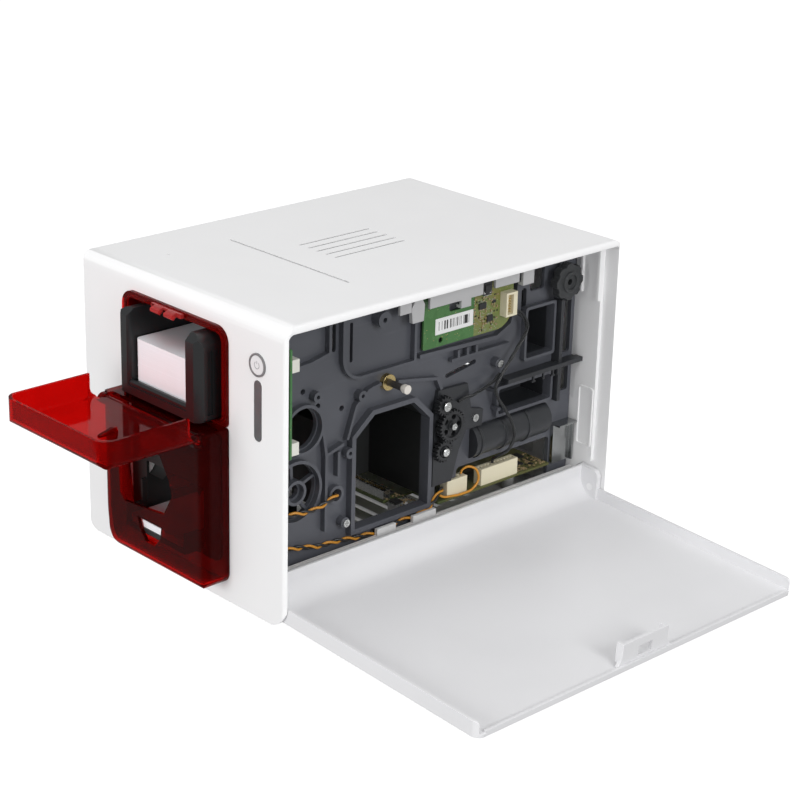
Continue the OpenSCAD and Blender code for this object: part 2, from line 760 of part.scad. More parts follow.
out_z = hopper_low + 21;                     // underside of the printed cards
tray_w = card_w + 6 - 2 * fit_gap;
module hopper_tray() {
    y0 = hopper_y + red_wall + 0.4;
    y1 = y0 + card_l + 2;
    color([0.08, 0.08, 0.08]) {
        block([feeder_x - tray_w / 2, y0, out_z - 3.4], [feeder_x + tray_w / 2, y1, out_z]);
        for (x = [feeder_x - tray_w / 2, feeder_x + tray_w / 2 - 1.6])
            block([x, y0, out_z - 3.4], [x + 1.6, y1, out_z + 10]);
        // Back plate against the case, with the card exit
        along_y(front_y - 2.4, front_y - 0.5) difference() {
            round_rect([feed_x0 + 7.8, hopper_low + 13], [feed_x1 - 6.5, hopper_top - 4.5], 5);
            translate([feeder_x, hopper_low + 37]) square([tray_w - 3.4, 40], center = true);
        }
        // Curved chute behind the window
        left = feeder_x - tray_w / 2;
        right = feeder_x + tray_w / 2;
        difference() {
            block([left, front_y - 6, out_z - 3.4], [left + 14, front_in + 14, out_z + 36]);
            block([left + 1.6, front_y - 7, out_z - 1], [right, front_in + 15, out_z + 26]);
            along_x(left - 1, right) translate([front_y - 6, out_z + 36]) circle(12);
        }
    }
}

module hopper_cards() {
    color([0.95, 0.94, 0.95]) along_z(out_z, out_z + out_h)
        round_rect([feeder_x - card_w / 2, hopper_y + red_wall + 0.8],
            [feeder_x + card_w / 2, hopper_y + red_wall + 0.8 + card_l], 3.2);
}

// ---- Front controls ----

module power_button() {
    color([0.9, 0.9, 0.92]) translate([button_x, 0, button_z]) {
        along_y(front_y - button_travel + 0.4, front_in + 1.5) circle(button_r);
        along_y(front_in + 1.4, front_in + 6) circle(2);
    }
}

module button_ring() {
    color([0.6, 0.6, 0.62]) translate([button_x, 0, button_z]) {
        for (b = [[front_y - 1, front_in, ring_r], [front_in, front_in + 1, ring_r + 1.6]])
            along_y(b[0], b[1]) difference() {
                circle(b[2]);
                circle(button_r + 0.1);
            }
    }
}

module status_light() {
    color([0.5, 0.5, 0.52]) {
        along_y(front_y - 0.2, front_in) light_outline(0);
        along_y(front_in, front_in + 1) light_outline(0.8);
    }
}

// ---- Mechanism chassis: one ribbed moulding with its windows ----

chassis_x = side_x - chassis_inset;          // visible face
back_x = chassis_x - chassis_t;
plate_z0 = floor_z + base_t;
plate_y0 = front_in + 18.5;
plate_y1 = rear_in - 0.3;

pinion_dir = 114;                           // directions of its two neighbours from the drive gear
idler_dir = 248;
gear_c = at(17.3, 55.4);
pinion_c = gear_c + gear_m * (drive_teeth + pinion_teeth) / 2 * [cos(pinion_dir), sin(pinion_dir)];
idler_c = gear_c + gear_m * (drive_teeth + idler_teeth) / 2 * [cos(idler_dir), sin(idler_dir)];
spindle_c = at(-33, 95);
knob_c = [plate_y1 - 18.7, plate_z1 - 22.7];
hub_c = at(-108, 42);
wheel_c = at(-102, 81);
lead_hole = at(-75.5, 32);
panel_r = 15;
panel_c = at(-71, 104) + [panel_r, panel_r];

// Tunnel window, grown outwards by g
function tunnel(g) = [
    at(-61, 65.5) + [-g, g / 2], at(-46, 77.5) + [-g / 2, g], at(-13, 77.5) + [g / 2, g],
    at(1, 64) + [g, g / 2], at(1, 5) + [g, -g], at(-61, 5) + [-g, -g]];
pocket_high = [at(88, 83), at(113, 116)];
pocket_low = [at(64, 50), at(113, 67)];
bosses = [at(-65.5, 57), at(-69, 12), at(-92, 100), at(-56, 92),
    at(-118, 18), at(62, 86)];
roller_c = [deep(-41), plate_z1 - 16];
clip_c = [at(57, 69), at(62, 55)];          // posts under the long cable

module plate_outline() {
    polygon([
        [front_in + 1.5, plate_z0], [plate_y1, plate_z0], [plate_y1, plate_z1], [plate_y0, plate_z1],
        [plate_y0, high(66)], [front_in + 1.5, high(66)]]);
}

module plate_windows() {
    polygon(tunnel(0));
    round_rect(pocket_high[0], pocket_high[1], 1.5);
    round_rect(pocket_low[0], pocket_low[1], 1.5);
    // Open foot above the main board
    round_rect([deep(12), plate_z0 - 5], at(118, 13.6), 3);
    round_rect(at(31, 0), at(118, 20), 3);
    translate(wheel_c) circle(13);
    translate(lead_hole) circle(4);
    slot(at(-76, 125), at(-76, 140), 3);
    slot(at(-62, 115), at(-62, 138), 2.4);
    slot(at(20, 86), at(44, 90), 3);
    slot([deep(87.5), plate_z1 - 40], [deep(87.5), plate_z1 - 26], 4.6);
    // Openings beside the knob and at the rear edge
    round_rect([deep(93), plate_z1 - 27], [deep(93) + 13, plate_z1 - 3], 1.5);
    round_rect(at(121.5, 77), [plate_y1 - 3, high(115)], 1.5);
    round_rect(at(121.5, 50), [plate_y1 - 3, high(69)], 1.5);
    // Ring of openings round the hub, left apart by its spokes
    translate(hub_c) difference() {
        circle(18);
        circle(8);
        for (a = [20:72:380]) rotate(a) translate([0, -1]) square([20, 2]);
    }
    translate(hub_c) circle(4.5);
    for (c = [at(-88, 92), at(-69, 86), at(-100, 104)]) translate(c) circle(1.8);
}

module plate_ribs() {
    // Rounded panel, upper left
    rib([[deep(-71), plate_z1 - 1], panel_c - [panel_r, 0]], rib_w);
    quarter_ring(panel_c, panel_r, 180, rib_w);
    rib([panel_c - [0, panel_r], [deep(-12), panel_c[1] - panel_r], at(-12, 136)], rib_w);
    // Ledges beside it
    rib([at(-112, 121), at(-96, 122), at(-82, 125)], rib_w);
    rib([at(-82, 125), [deep(-82), plate_z1 - 1]], rib_w);
    // Guide that runs round the tunnel
    rib([at(-67, 66), at(-60, 86), at(-50, 94), at(-40, 96)], rib_w);
    rib([at(-26, 94), at(-14, 92), at(8, 88), at(12, 80)], rib_w);
    // Ribs round the wheel opening
    ring(wheel_c, 15, rib_w);
    rib([wheel_c + [15, -2], at(-84, 60), at(-84, 10)], rib_w);
    rib([at(-84, 60), at(-70, 64)], rib_w);
    rib([at(-74, 60), at(-74, 44)], rib_w);
    ring(hub_c, 7, rib_w);
    ring(hub_c, 19.5, rib_w);
    ring(lead_hole, 5, rib_w);
    // Cradle of the sensor board
    rib([at(-8, 106), at(60, 104), at(73, 110), at(78, 124), [deep(78), plate_z1 - 1]], 2.6);
    // Ladder above the motor
    rib([at(20, 97), at(72, 97)], rib_w);
    for (y = [26, 34, 42]) rib([at(y, 97), at(y, 103)], rib_w);
    // Frames of the rear pockets
    for (p = [pocket_high, pocket_low]) difference() {
        round_rect(p[0] - [rib_w, rib_w], p[1] + [rib_w, rib_w], 2);
        round_rect(p[0], p[1], 1.5);
    }
}

module mechanism_chassis() {
    color([0.2, 0.21, 0.23]) difference() {
        union() {
            along_x(back_x, chassis_x) difference() {
                plate_outline();
                plate_windows();
            }
            along_x(chassis_x - 0.5, chassis_x + rib_h) difference() {
                plate_ribs();
                polygon(tunnel(0));
            }
            // Raised rim of the tunnel
            along_x(chassis_x - 0.5, chassis_x + rib_h + 1) difference() {
                polygon(tunnel(3.2));
                polygon(tunnel(0));
            }
            for (b = bosses) along_x(chassis_x - 0.5, chassis_x + rib_h + 1) translate(b) circle(3.4);
            along_x(chassis_x - 0.5, chassis_x + rib_h + 3) translate(roller_c) circle(5.2);
            for (c = clip_c) along_x(chassis_x - 0.5, chassis_x + rib_h + 2.6)
                translate(c) square([3, 2.4], center = true);
            for (b = board_bosses) along_x(chassis_x - 0.5, board_x) translate(b) circle(2.6);
        }
        for (b = bosses) along_x(chassis_x + 1, chassis_x + rib_h + 2) translate(b) circle(1.3);
        along_x(chassis_x + 1, chassis_x + rib_h + 4) translate(roller_c) circle(1.6);
        along_x(back_x - 1, chassis_x + 1) {
            translate(knob_c) circle(3 + run_gap);
            translate(spindle_c) circle(spindle_r + run_gap);
        }
    }
}

module square_from(a, b) { translate(a) square(b - a); }

// Boxes behind the two rear windows, open to the front
pocket_depth = 22;
pocket_wall = 1.6;
module pocket_boxes() {
    skin = [pocket_wall, pocket_wall];
    color([0.15, 0.16, 0.17]) for (p = [pocket_high, pocket_low]) difference() {
        along_x(back_x - pocket_depth, back_x) square_from(p[0] - skin, p[1] + skin);
        along_x(back_x - pocket_depth + pocket_wall, back_x + 1) square_from(p[0], p[1]);
    }
}

// Angle brackets that stand the chassis on the base plate
module chassis_feet() {
    leg = 12;
    t = 1.5;
    color([0.7, 0.7, 0.72]) for (y = [[deep(-112), deep(-66)], [deep(120), plate_y1]])
        along_y(y[0], y[1]) polygon([
            [back_x - leg, plate_z0], [back_x, plate_z0], [back_x, plate_z0 + leg],
            [back_x - t, plate_z0 + leg], [back_x - t, plate_z0 + t], [back_x - leg, plate_z0 + t]]);
}

module tunnel_duct() {
    color([0.06, 0.07, 0.07]) difference() {
        along_x(back_x - 50, back_x) polygon(tunnel(2));
        along_x(back_x - 48, back_x + 1) polygon(tunnel(0));
        block([back_x - 51, deep(-70), plate_z0], [back_x + 1, deep(10), high(9)]);
    }
}

// ---- Gear train ----

housing_t = 3;
gear_x = chassis_x + rib_h + 1.4;

module gear_housing() {
    color([0.15, 0.16, 0.17]) difference() {
        along_x(chassis_x, chassis_x + housing_t) difference() {
            polygon([at(7, 14), at(24, 14), at(30, 34), at(36, 46), at(50, 46),
                at(51, 57), at(40, 60), at(36, 78), at(10, 79), at(7, 62)]);
            translate(at(43, 53)) circle(1.3);
        }
        gear_bores();
    }
    color([0.15, 0.16, 0.17]) difference() {
        for (c = [gear_c, pinion_c, idler_c]) along_x(chassis_x + housing_t - 0.2, gear_x - swing_gap)
            translate(c) circle(shaft_r + 1.6);
        gear_bores();
    }
}

module gear_bores() {
    for (c = [gear_c, pinion_c, idler_c])
        along_x(chassis_x + 0.5, gear_x) translate(c) circle(shaft_r + run_gap);
}

// Spur gear in the Y-Z plane: tooth points from the pitch radius and the module.
function gear_points(teeth, turn) = [
    for (i = [0:teeth - 1], k = [0:3])
        let (pitch = 360 / teeth, rp = gear_m * teeth / 2,
            r = (k == 0 || k == 3) ? rp - 1.1 * gear_m : rp + 0.85 * gear_m,
            share = (k == 0 || k == 3) ? 0.33 : 0.1,
            a = turn + pitch * (i + (k < 2 ? -share : share)))
        [r * cos(a), r * sin(a)]];

// Turn of a gear that meshes with the drive gear, in direction dir from it
function mesh_turn(dir, teeth) = dir + 180 - (0.5 - dir * drive_teeth / 360) * 360 / teeth;

module gear(c, teeth, turn, web_n) {
    rp = gear_m * teeth / 2;
    translate([gear_x, c[0], c[1]]) rotate([90, 0, 90]) {
        difference() {
            linear_extrude(gear_w) polygon(gear_points(teeth, turn));
            // Dished face with round openings
            translate([0, 0, gear_w - 1.2]) difference() {
                cylinder(r = rp - 2.6, h = 2);
                cylinder(r = shaft_r + 1.8, h = 2);
            }
            for (i = [0:1:web_n - 1]) rotate(i * 360 / max(web_n, 1))
                translate([(rp + shaft_r) / 2, 0, -1]) cylinder(r = rp / 5.5, h = gear_w + 2);
        }
        translate([0, 0, chassis_x + 0.8 - gear_x])
            cylinder(r = shaft_r, h = gear_x - chassis_x - 0.8 + gear_w + 1.4);
    }
}

module drive_gear() {
    color([0.12, 0.12, 0.13]) gear(gear_c, drive_teeth, 0, 5);
}

module pinion_gear() {
    color([0.12, 0.12, 0.13])
        gear(pinion_c, pinion_teeth, mesh_turn(pinion_dir, pinion_teeth), 0);
}

module idler_gear() {
    color([0.12, 0.12, 0.13])
        gear(idler_c, idler_teeth, mesh_turn(idler_dir, idler_teeth), 0);
}

motor_r = 12;
module motor_cover() {
    color([0.13, 0.13, 0.14]) intersection() {
        union() {
            along_y(deep(42), deep(112)) translate([chassis_x - 4, high(35)]) circle(motor_r);
            for (y = [46, 68, 90]) along_y(deep(y), deep(y) + 2)
                translate([chassis_x - 4, high(35)]) circle(motor_r + 0.8);
        }
        block([chassis_x, deep(38), high(18)], [chassis_x + 20, deep(114), high(45.6)]);
    }
}

module rear_shelves() {
    shelf_y0 = deep(66);
    post_y = deep(116.5);
    color([0.14, 0.15, 0.16]) {
        block([chassis_x + rib_h, shelf_y0, high(72)], [chassis_x + rib_h + 6, plate_y1, high(75)]);
        block([chassis_x, shelf_y0, high(72)], [chassis_x + rib_h, plate_y1, high(74)]);
        for (y = [84, 104, 124]) along_y(deep(y), deep(y) + 2) polygon([
            [chassis_x, high(72.5)], [chassis_x + 9, high(72.5)], [chassis_x, high(69.2)]]);
        block([chassis_x, post_y, high(74)], [chassis_x + rib_h + 3, post_y + 3, high(118)]);
        block([chassis_x, post_y, high(47)], [chassis_x + rib_h + 3, post_y + 3, high(72)]);
    }
}

module ribbon_spindle() {
    color([0.85, 0.85, 0.82]) {
        along_x(back_x + 0.2, chassis_x + spindle_l - 3)
            translate(spindle_c) circle(spindle_r);
        along_x(chassis_x + spindle_l - 3.2, chassis_x + spindle_l)
            translate(spindle_c) circle(spindle_r + 0.7);
    }
}

module spindle_bush() {
    color([0.75, 0.6, 0.3]) along_x(chassis_x, chassis_x + 3.5) translate(spindle_c) difference() {
        circle(spindle_r + 3);
        circle(spindle_r + run_gap);
    }
}

module adjust_knob() {
    color([0.17, 0.18, 0.19]) {
        along_x(chassis_x + 6, chassis_x + 12) translate(knob_c) difference() {
            circle(knob_r);
            for (i = [0:knob_lobes - 1]) rotate((i + 0.5) * 360 / knob_lobes)
                translate([knob_r + 2.6, 0]) circle(4);
            circle(2);
        }
        along_x(chassis_x + 11.5, chassis_x + 13.4) translate(knob_c) difference() {
            circle(knob_r - 5.5);
            circle(knob_r - 7.5);
        }
        along_x(back_x + 0.2, chassis_x + 7) translate(knob_c) circle(3);
    }
}

rail_x = chassis_x + 7.5;
module top_rail() {
    // Plates that hang from the rail: start and end in Y, and drop below the roof
    plates = [[-32, -22.6, 17.4], [-7, 39, 18.4], [50, 71.5, 16.6]];
    hooks = [[20, 28.6, 23.6], [75, 85, 20]];
    clip_y = deep(-21.8);
    color([0.72, 0.72, 0.75]) {
        block([rail_x, deep(-33), roof_in - 8], [rail_x + 4, deep(86), roof_in]);
        for (p = plates)
            block([rail_x + 1, deep(p[0]), roof_in - p[2]], [rail_x + 3, deep(p[1]), roof_in - 7]);
        for (h = hooks) {
            block([rail_x + 1, deep(h[0]), roof_in - h[2]], [rail_x + 3, deep(h[1]), roof_in - 7]);
            block([rail_x - 1.5, deep(h[0]), roof_in - h[2]], [rail_x + 3, deep(h[1]), roof_in - h[2] + 2]);
        }
        // Pointed clip
        along_x(rail_x + 0.4, rail_x + 3.4) polygon([
            [clip_y, roof_in - 24.6], [clip_y + 9.4, roof_in - 24.6], [clip_y + 10, roof_in - 14],
            [clip_y + 6, roof_in - 7], [clip_y + 4, roof_in - 7], [clip_y - 1, roof_in - 15]]);
    }
}

// ---- Circuit boards ----

board_x = chassis_x + 1.6;
board_lo = at(-5, 109);
board_hi = [deep(74), plate_z1 - 8];
board_bosses = [[deep(0), board_lo[1] + 4], [deep(0), board_hi[1] - 5], [deep(55), board_lo[1] + 5],
    [deep(68), board_hi[1] - 5]];

module sensor_board() {
    color([0.2, 0.42, 0.18]) along_x(board_x, board_x + board_t) difference() {
        corner_rect(board_lo, board_hi, [1, 14, 1, 1]);
        translate([deep(10), board_lo[1] + 4]) circle(1.8);
        // Notch behind the rail's hook
        round_rect([deep(16.8), high(130)], [deep(30), board_hi[1] + 10], 2);
    }
}

module board_label() {
    color([0.93, 0.93, 0.93]) along_x(board_x + board_t, board_x + board_t + 0.2)
        round_rect(at(5, 117), at(38, 127.5), 0.4);
}

module sensor_connector() {
    x0 = board_x + board_t;
    color([0.92, 0.85, 0.68]) difference() {
        block([x0, deep(62), high(118)], [x0 + 6, deep(62) + 10, high(134)]);
        block([x0 + 1.5, deep(62) + 1.5, high(118) + 1.5], [x0 + 7, deep(62) + 6.5, high(134) - 1.5]);
    }
}

front_board_y = plate_y0 - fit_gap;
module front_board() {
    color([0.2, 0.42, 0.2]) along_y(front_board_y - board_t, front_board_y) difference() {
        round_rect([mag_x1 + 2.5, high(70)], [side_x - 20, plate_z1 - 15], 1);
        translate([mag_x1 + 12, high(120)]) circle(2);
    }
}

module front_connectors() {
    color([0.93, 0.92, 0.88]) for (z = [high(72), high(124)])
        block([side_x - 27, front_board_y, z], [side_x - 20.5, front_board_y + 6, z + 8]);
}

module main_board() {
    // The part in front stops short of the duct's side
    x0 = across(-40);
    x1 = back_x - 18;
    x2 = tray_x - 3.7;
    color([0.3, 0.36, 0.16]) along_z(main_board_z, main_board_z + board_t) polygon([
        [x0, deep(-13)], [x1, deep(-13)], [x1, deep(13)], [x2, deep(13)], [x2, deep(117)],
        [x0, deep(117)]]);
}

part_z = main_board_z + board_t;
header_w = 40;
module board_header() {
    x1 = back_x - 19;
    y0 = deep(-13) + 1;
    color([0.7, 0.7, 0.68]) difference() {
        block([x1 - header_w, y0, part_z], [x1, y0 + 6, part_z + 6.5]);
        block([x1 - header_w + 2, y0 + 1.5, part_z + 2], [x1 - 2, y0 + 4.5, part_z + 7]);
    }
}

plug_x = tray_x - 4.5;                      // outer faces of the plugs on the main board
plug_h = 11.5;
module plug(y0, y1) {
    difference() {
        block([plug_x - 7, y0, part_z], [plug_x, y1, part_z + plug_h]);
        for (y = [y0 + 2:3:y1 - 2])
            block([plug_x - 5, y - 0.7, part_z + plug_h - 2.5], [plug_x - 2, y + 0.7, part_z + plug_h + 1]);
    }
}
module long_connector() { color([0.92, 0.86, 0.72]) plug(deep(53), deep(87)); }
module small_connector() { color([0.92, 0.86, 0.7]) plug(deep(22), deep(40)); }

module metal_bracket() {
    y0 = deep(119);
    z0 = high(0.3);
    z1 = high(29);
    color([0.78, 0.79, 0.78]) {
        block([chassis_x + 2, y0, z0], [chassis_x + 3.2, plate_y1 - 0.5, z1]);
        block([chassis_x, y0, z1 - 1.2], [chassis_x + 9, plate_y1 - 0.5, z1]);
        block([chassis_x, y0, z0], [chassis_x + 3.2, y0 + 1.2, z1]);
        block([chassis_x + 2, plate_y1 - 1.7, z0], [chassis_x + 6, plate_y1 - 0.5, z1]);
    }
}

module screw(x, c) {
    translate([x, c[0], c[1]]) rotate([0, 90, 0]) difference() {
        cylinder(r = 2.5, h = 1.6);
        translate([-1.8, -0.35, 0.9]) cube([3.6, 0.7, 1]);
        translate([-0.35, -1.8, 0.9]) cube([0.7, 3.6, 1]);
    }
}

module screws() {
    color([0.8, 0.8, 0.82]) {
        for (b = [bosses[1], bosses[5]]) screw(chassis_x + rib_h + 1, b);
        screw(chassis_x + housing_t, at(43, 53));
        for (b = [board_bosses[1], board_bosses[3]]) screw(board_x + board_t, b);
    }
}

// ---- Leads and cables: tubes swept along hand-set routes ----
// Points of a route are out from the chassis face, back, and up from the main board.

twist_pitch = 16;
low_route = [[1.85, -136, 6], [1.85, -118, 6], [1.85, -103, 4], [1.85, -88, 0.6], [1.85, -73, -0.4],
    [1.85, -58, -2.5], [1.85, -43, -3.5], [1.85, -28, -3], [1.85, -14, -2], [1.85, -3, -1.8],
    [1.85, 5, -0.5], [1.3, 10.5, 3.3], [0, 15.5, 7], [-1.5, 20.8, 7.6]];
high_route = [[6, -136, 27], [6.2, -125, 29.5], [7, -113, 30.5], [7, -100, 29], [6.8, -90, 30],
    [6.6, -82, 32], [5.3, -77.2, 32.2], [2, -75.5, 32], [-3, -75.5, 32], [-10, -75.5, 32]];
loop_route = [[-1.5, 37, 13.9], [-1.3, 38, 16.5], [1, 41.5, 18.5], [3.6, 46, 16], [4.6, 47.5, 9],
    [4.4, 42, 3.5], [4, 33, 2.5], [3.3, 25, 3], [2, 19, 3.5], [0.8, 16, 5.3]];
long_route = [[6, 72.8, 119], [7.4, 77, 117], [8.6, 81.6, 111], [8.8, 81.5, 104], [8.4, 74, 94],
    [8.4, 66, 85], [8.4, 59.5, 77.5], [8.4, 56, 72], [8.6, 58.5, 64], [9, 64.5, 55.5], [10.2, 70, 46],
    [10.8, 73, 35], [9, 70, 25.5], [2.5, 66.5, 19.5], [-1, 66, 16.5], [-1.4, 66, 13.9]];
short_route = [[5.6, 62, 79.4], [6.6, 55, 75.4], [6.6, 46, 72.6], [6, 38, 70.4], [4.4, 31, 69],
    [4.4, 26.4, 68.4]];

// Smooth curve through the points, in steps of about the given length
function curve(p, step) = [
    for (i = [0:len(p) - 2])
        let (n = ceil(norm(p[i + 1] - p[i]) / step))
            for (k = [0:n - 1]) curve_point(p, i, k / n),
    p[len(p) - 1]];
function curve_point(p, i, t) =
    let (a = p[clamp(i - 1, len(p) - 1)], b = p[i], c = p[i + 1], d = p[clamp(i + 2, len(p) - 1)])
    0.5 * (2 * b + (c - a) * t + (2 * a - 5 * b + 4 * c - d) * t * t + (3 * b - a - 3 * c + d) * t * t * t);
function routed(p) = [for (q = p) [chassis_x + q[0], deep(q[1]), high(q[2])]];
function heading(p, i) = unit(p[clamp(i + 1, len(p) - 1)] - p[clamp(i - 1, len(p) - 1)]);
function side_of(t) = unit(cross(t, [1, 0.2, 0.3]));

// One wire of a twisted pair: the route shifted round itself
function strand(p, off, phase) = [
    for (i = [0:len(p) - 1])
        let (t = heading(p, i), u = side_of(t), v = cross(t, u),
            a = phase + 360 * i * norm(p[1] - p[0]) / twist_pitch)
        p[i] + off * (cos(a) * u + sin(a) * v)];

module tube(p, r) {
    sides = 8;
    last = len(p) - 1;
    points = [
        for (i = [0:last])
            let (t = heading(p, i), u = side_of(t), v = cross(t, u))
            for (k = [0:sides - 1]) p[i] + r * (cos(360 * k / sides) * u + sin(360 * k / sides) * v)];
    faces = concat(
        [[for (k = [sides - 1:-1:0]) k]],
        [for (i = [0:last - 1], k = [0:sides - 1])
            let (j = (k + 1) % sides)
            [i * sides + k, i * sides + j, (i + 1) * sides + j, (i + 1) * sides + k]],
        [[for (k = [0:sides - 1]) last * sides + k]]);
    polyhedron(points, faces);
}

strand_off = 1.1 * wire_r + 0.02;
low_curve = curve(routed(low_route), 2.1);
high_curve = curve(routed(high_route), 2.1);
module lead_orange_low() { color([0.85, 0.55, 0.12]) tube(strand(low_curve, strand_off, 0), wire_r); }
module lead_black_low() { color([0.06, 0.06, 0.06]) tube(strand(low_curve, strand_off, 180), wire_r); }
module lead_orange_high() { color([0.85, 0.55, 0.12]) tube(strand(high_curve, strand_off, 0), wire_r); }
module lead_black_high() { color([0.06, 0.06, 0.06]) tube(strand(high_curve, strand_off, 180), wire_r); }
module loop_orange() { color([0.85, 0.55, 0.12]) tube(curve(routed(loop_route), 3), wire_r); }
module cable_long() { color([0.06, 0.06, 0.06]) tube(curve(routed(long_route), 3.5), cable_r); }
module cable_short() { color([0.06, 0.06, 0.06]) tube(curve(routed(short_route), 3.5), cable_r); }

case_shell();
base_tray();
feet();
rear_panel();
dc_inlet();
usb_socket();
network_socket();
side_cover();
cover_latch();
feeder_frame();
frame_latch();
card_magazine();
card_stack();
feeder_door();
output_hopper();
hopper_tray();
hopper_cards();
power_button();
button_ring();
status_light();
mechanism_chassis();
pocket_boxes();
chassis_feet();
tunnel_duct();
gear_housing();
motor_cover();
rear_shelves();
drive_gear();
pinion_gear();
idler_gear();
ribbon_spindle();
spindle_bush();
adjust_knob();
top_rail();
sensor_board();
board_label();
sensor_connector();
front_board();
front_connectors();
main_board();
board_header();
long_connector();
small_connector();
metal_bracket();
screws();
lead_orange_low();
lead_black_low();
lead_orange_high();
lead_black_high();
loop_orange();
cable_long();
cable_short();
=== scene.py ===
"""Looks of a desktop ID card printer, built round its packed construction model.

The frame is in metres: +Z is up, the feeder faces -Y and the open service side faces +X.
Sub-assemblies are classes that dress the construction nodes and add the pieces that they lack.
"""

from __future__ import annotations

import logging
import math
from dataclasses import dataclass
from enum import Enum
from typing import Any, Mapping, Sequence, Union

import bmesh
import bpy
from mathutils import Matrix, Vector

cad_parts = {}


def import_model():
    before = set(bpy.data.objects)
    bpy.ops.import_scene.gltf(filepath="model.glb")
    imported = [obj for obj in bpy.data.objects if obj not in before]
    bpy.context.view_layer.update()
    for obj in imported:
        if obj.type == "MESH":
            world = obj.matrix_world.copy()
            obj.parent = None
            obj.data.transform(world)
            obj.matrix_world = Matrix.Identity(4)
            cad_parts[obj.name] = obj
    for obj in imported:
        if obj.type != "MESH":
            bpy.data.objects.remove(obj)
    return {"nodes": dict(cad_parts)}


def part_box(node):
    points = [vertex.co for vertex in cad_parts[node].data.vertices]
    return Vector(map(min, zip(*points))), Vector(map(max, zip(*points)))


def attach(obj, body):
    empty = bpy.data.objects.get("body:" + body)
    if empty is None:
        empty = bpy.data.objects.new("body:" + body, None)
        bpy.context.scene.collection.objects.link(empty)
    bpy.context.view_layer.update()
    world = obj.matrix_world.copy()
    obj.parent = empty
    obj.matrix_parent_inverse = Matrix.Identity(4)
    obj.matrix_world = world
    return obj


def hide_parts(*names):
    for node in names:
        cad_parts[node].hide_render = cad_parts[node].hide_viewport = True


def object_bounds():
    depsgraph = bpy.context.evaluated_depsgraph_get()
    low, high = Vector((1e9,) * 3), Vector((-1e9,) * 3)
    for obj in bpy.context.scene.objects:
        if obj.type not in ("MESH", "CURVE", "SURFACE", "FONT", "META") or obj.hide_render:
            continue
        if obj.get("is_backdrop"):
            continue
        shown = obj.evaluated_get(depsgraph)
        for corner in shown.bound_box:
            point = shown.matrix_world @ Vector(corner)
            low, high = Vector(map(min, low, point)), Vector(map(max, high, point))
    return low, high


LOG = logging.getLogger("card_printer")
MM = 0.001

Triple = tuple[float, float, float]
Pair = tuple[float, float]
Colour = Triple
Number = Union["Value", float, int]
Settings = Mapping[str, Any]
Inputs = Mapping[Union[str, int], Any]


class Axis(Enum):
    """A direction of the frame."""

    X = (1.0, 0.0, 0.0)
    Y = (0.0, 1.0, 0.0)
    Z = (0.0, 0.0, 1.0)


class Edge(Enum):
    """How far the edges of a piece are broken, as a radius in metres."""

    SHARP = 0.00012
    CRISP = 0.0002
    SOFT = 0.00035


# ---- Nodes ----

# Sockets that share their name with others of the same node, by their place in it.
MIX_COLOURS = (6, 7)
MIXED_COLOUR = 2
LOWEST_COUNT, HIGHEST_COUNT = 4, 5
RANDOM_COUNT, RANDOM_CHOICE = 2, 3


class Nodes:
    """A tree of nodes."""

    def __init__(self, tree: bpy.types.NodeTree) -> None:
        """Takes a tree.

        Args:
            tree: The tree that the nodes are added to.
        """
        self.tree = tree

    def node(
        self, kind: str, settings: Settings | None = None, inputs: Inputs | None = None
    ) -> bpy.types.Node:
        """Adds a node.

        Args:
            kind: The node's type.
            settings: Its properties, set first.
            inputs: The values of its sockets, or the sockets and Values that feed them. A list feeds one
                socket many times.

        Returns:
            The new node.
        """
        node = self.tree.nodes.new(kind)
        for key, value in (settings or {}).items():
            setattr(node, key, value)
        for key, value in (inputs or {}).items():
            for item in map(plain, value if isinstance(value, list) else [value]):
                if isinstance(item, bpy.types.NodeSocket):
                    self.tree.links.new(item, node.inputs[key])
                else:
                    node.inputs[key].default_value = item
        return node

    def first(
        self, kind: str, settings: Settings | None = None, inputs: Inputs | None = None
    ) -> bpy.types.NodeSocket:
        """Adds a node as node() does, and returns its first output."""
        return self.node(kind, settings, inputs).outputs[0]


